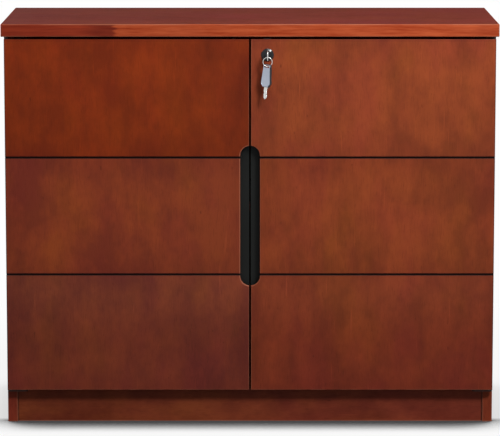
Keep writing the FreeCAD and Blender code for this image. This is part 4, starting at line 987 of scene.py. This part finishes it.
def hung(flat):
    """Points of (sideways, upwards, forwards): turned about the upright, leant about the depth."""
    side, rise, back = flat[..., 0], flat[..., 1], -flat[..., 2]
    across = side * math.cos(SPARE_TURN) - back * math.sin(SPARE_TURN)
    depth = side * math.sin(SPARE_TURN) + back * math.cos(SPARE_TURN)
    return np.stack([HANG[0] + across * math.cos(SPARE_LEAN) + rise * math.sin(SPARE_LEAN),
                     HANG[1] + depth,
                     HANG[2] - across * math.sin(SPARE_LEAN) + rise * math.cos(SPARE_LEAN)], axis=-1)


def head_outline(right, others):
    """Half of the head's corners from the top down and their mirror image, moved in by two margins."""
    half = np.array([[HEAD_NARROW, HEAD_TOP - others], [HEAD_WIDE, WAIST],
                     [HEAD_NARROW, SHOULDER], [HEAD_NARROW, HEAD_LOW + others]])
    corners = np.concatenate([half - [right, 0], (half[::-1] - [others, 0]) * [-1, 1]])
    return filled(soft_corners(corners, HEAD_ROUNDS + HEAD_ROUNDS[::-1]), HEAD_SPACING)


head_loop = head_outline(0.0, 0.0)
slot_loop = facing(head_loop, SLOT_MIDDLE, SLOT_HALF, SLOT_SQUARE)
skin("moulded_head", hung(holed_plate(head_loop, slot_loop, HEAD_HALF, HEAD_BEVEL)), True,
     head_plastic, "spare_key", "black_plastic", "spare_key_head")

# %% [markdown]
# The bare plate is a thin sheet with a pressed rim, and it has the same slot as the head. Loops of
# its outline and of the slot at different insets and heights make it: up the outer edge, over the
# rim, down to the field, up to the slot's own rim and back through the slot. On the right it leaves
# a wider margin of the black head.

# %% Bare plate
PLATE_THICK = 0.0006
PLATE_BEVEL = 0.0001
RIM_WIDE = 0.0007
FIELD_DROP = 0.0002
MARGIN_RIGHT, MARGIN_OTHERS = 0.0024, 0.0008


def pressed_plate(outer, inner):
    """A closed section carried between two loops: each row is a loop, grown or not, and its height."""
    top = HEAD_HALF + PLATE_THICK
    field = top - FIELD_DROP
    rows = [(inner, HEAD_HALF), (outer, HEAD_HALF), (outer, top - PLATE_BEVEL),
            (grown(outer, -PLATE_BEVEL), top), (grown(outer, -RIM_WIDE), top),
            (grown(outer, -RIM_WIDE - FIELD_DROP), field), (grown(inner, RIM_WIDE + FIELD_DROP), field),
            (grown(inner, RIM_WIDE), top), (grown(inner, PLATE_BEVEL), top), (inner, top - PLATE_BEVEL)]
    return np.stack([np.column_stack([loop, np.full(len(loop), height)]) for loop, height in rows])


plate_loop = head_outline(MARGIN_RIGHT, MARGIN_OTHERS)
plate_slot = facing(plate_loop, SLOT_MIDDLE, SLOT_HALF, SLOT_SQUARE)
skin("bare_plate", hung(pressed_plate(plate_loop, plate_slot)), True,
     plate_metal, "spare_key", "grey_plate", "spare_key_plate")

# %% [markdown]
# The blade is a bar with a milled flute, tapered to a tip, with cuts along one side. Its section is
# carried down its length while the two edges move in and out: the cuts are the deepest of several
# tents, each a notch with sloping sides and a flat floor.

# %% Milled blade
BLADE_HALF = 0.00425
BLADE_TOP = HEAD_LOW + 0.014
BLADE_LENGTH = 0.038
BLADE_THICK = 0.001
BLADE_STEPS = 153
# Place along the blade and depth of each cut.
CUTS = np.array([[0.018, 0.0011], [0.0215, 0.0019], [0.025, 0.0008], [0.0285, 0.0016], [0.0318, 0.0006]])
CUT_FLOOR, CUT_SLOPE = 0.0007, 1.1
TIP_SLOPE, TIP_LEAST = 0.97, 0.0002
# Front half of the section with its flute: share of the width, share of the thickness.
FLUTE = np.array([[0.0, 0.7], [0.05, 1.0], [0.3, 1.0], [0.36, 0.55],
                  [0.52, 0.55], [0.58, 1.0], [0.95, 1.0], [1.0, 0.7]])


def milled_blade():
    """Edge positions by depth s: half a width, less the cuts on one side, less the tip on both."""
    s = np.linspace(0, BLADE_LENGTH, BLADE_STEPS)[:, None]
    tents = np.clip(CUTS[:, 1] + CUT_FLOOR - np.abs(s - CUTS[:, 0]) * CUT_SLOPE, 0, CUTS[:, 1])
    tip = np.clip(s - BLADE_LENGTH + BLADE_HALF, 0, BLADE_HALF) * TIP_SLOPE
    left = -BLADE_HALF + tip
    right = np.maximum(BLADE_HALF - np.maximum(tents.max(axis=1, keepdims=True), tip), left + TIP_LEAST)
    across, thick = np.concatenate([FLUTE, FLUTE[::-1] * [1, -1]]).T
    side = left + (right - left) * across
    grid = np.stack([side, BLADE_TOP - s + 0 * side, BLADE_THICK * thick + 0 * side], axis=-1)
    ends = [np.tile(grid[k].mean(axis=0), (1, len(across), 1)) for k in (0, -1)]
    return np.concatenate([ends[0], grid, ends[1]])


skin("milled_blade", hung(milled_blade()), False, key_steel, "spare_key", "steel", "spare_key_blade")
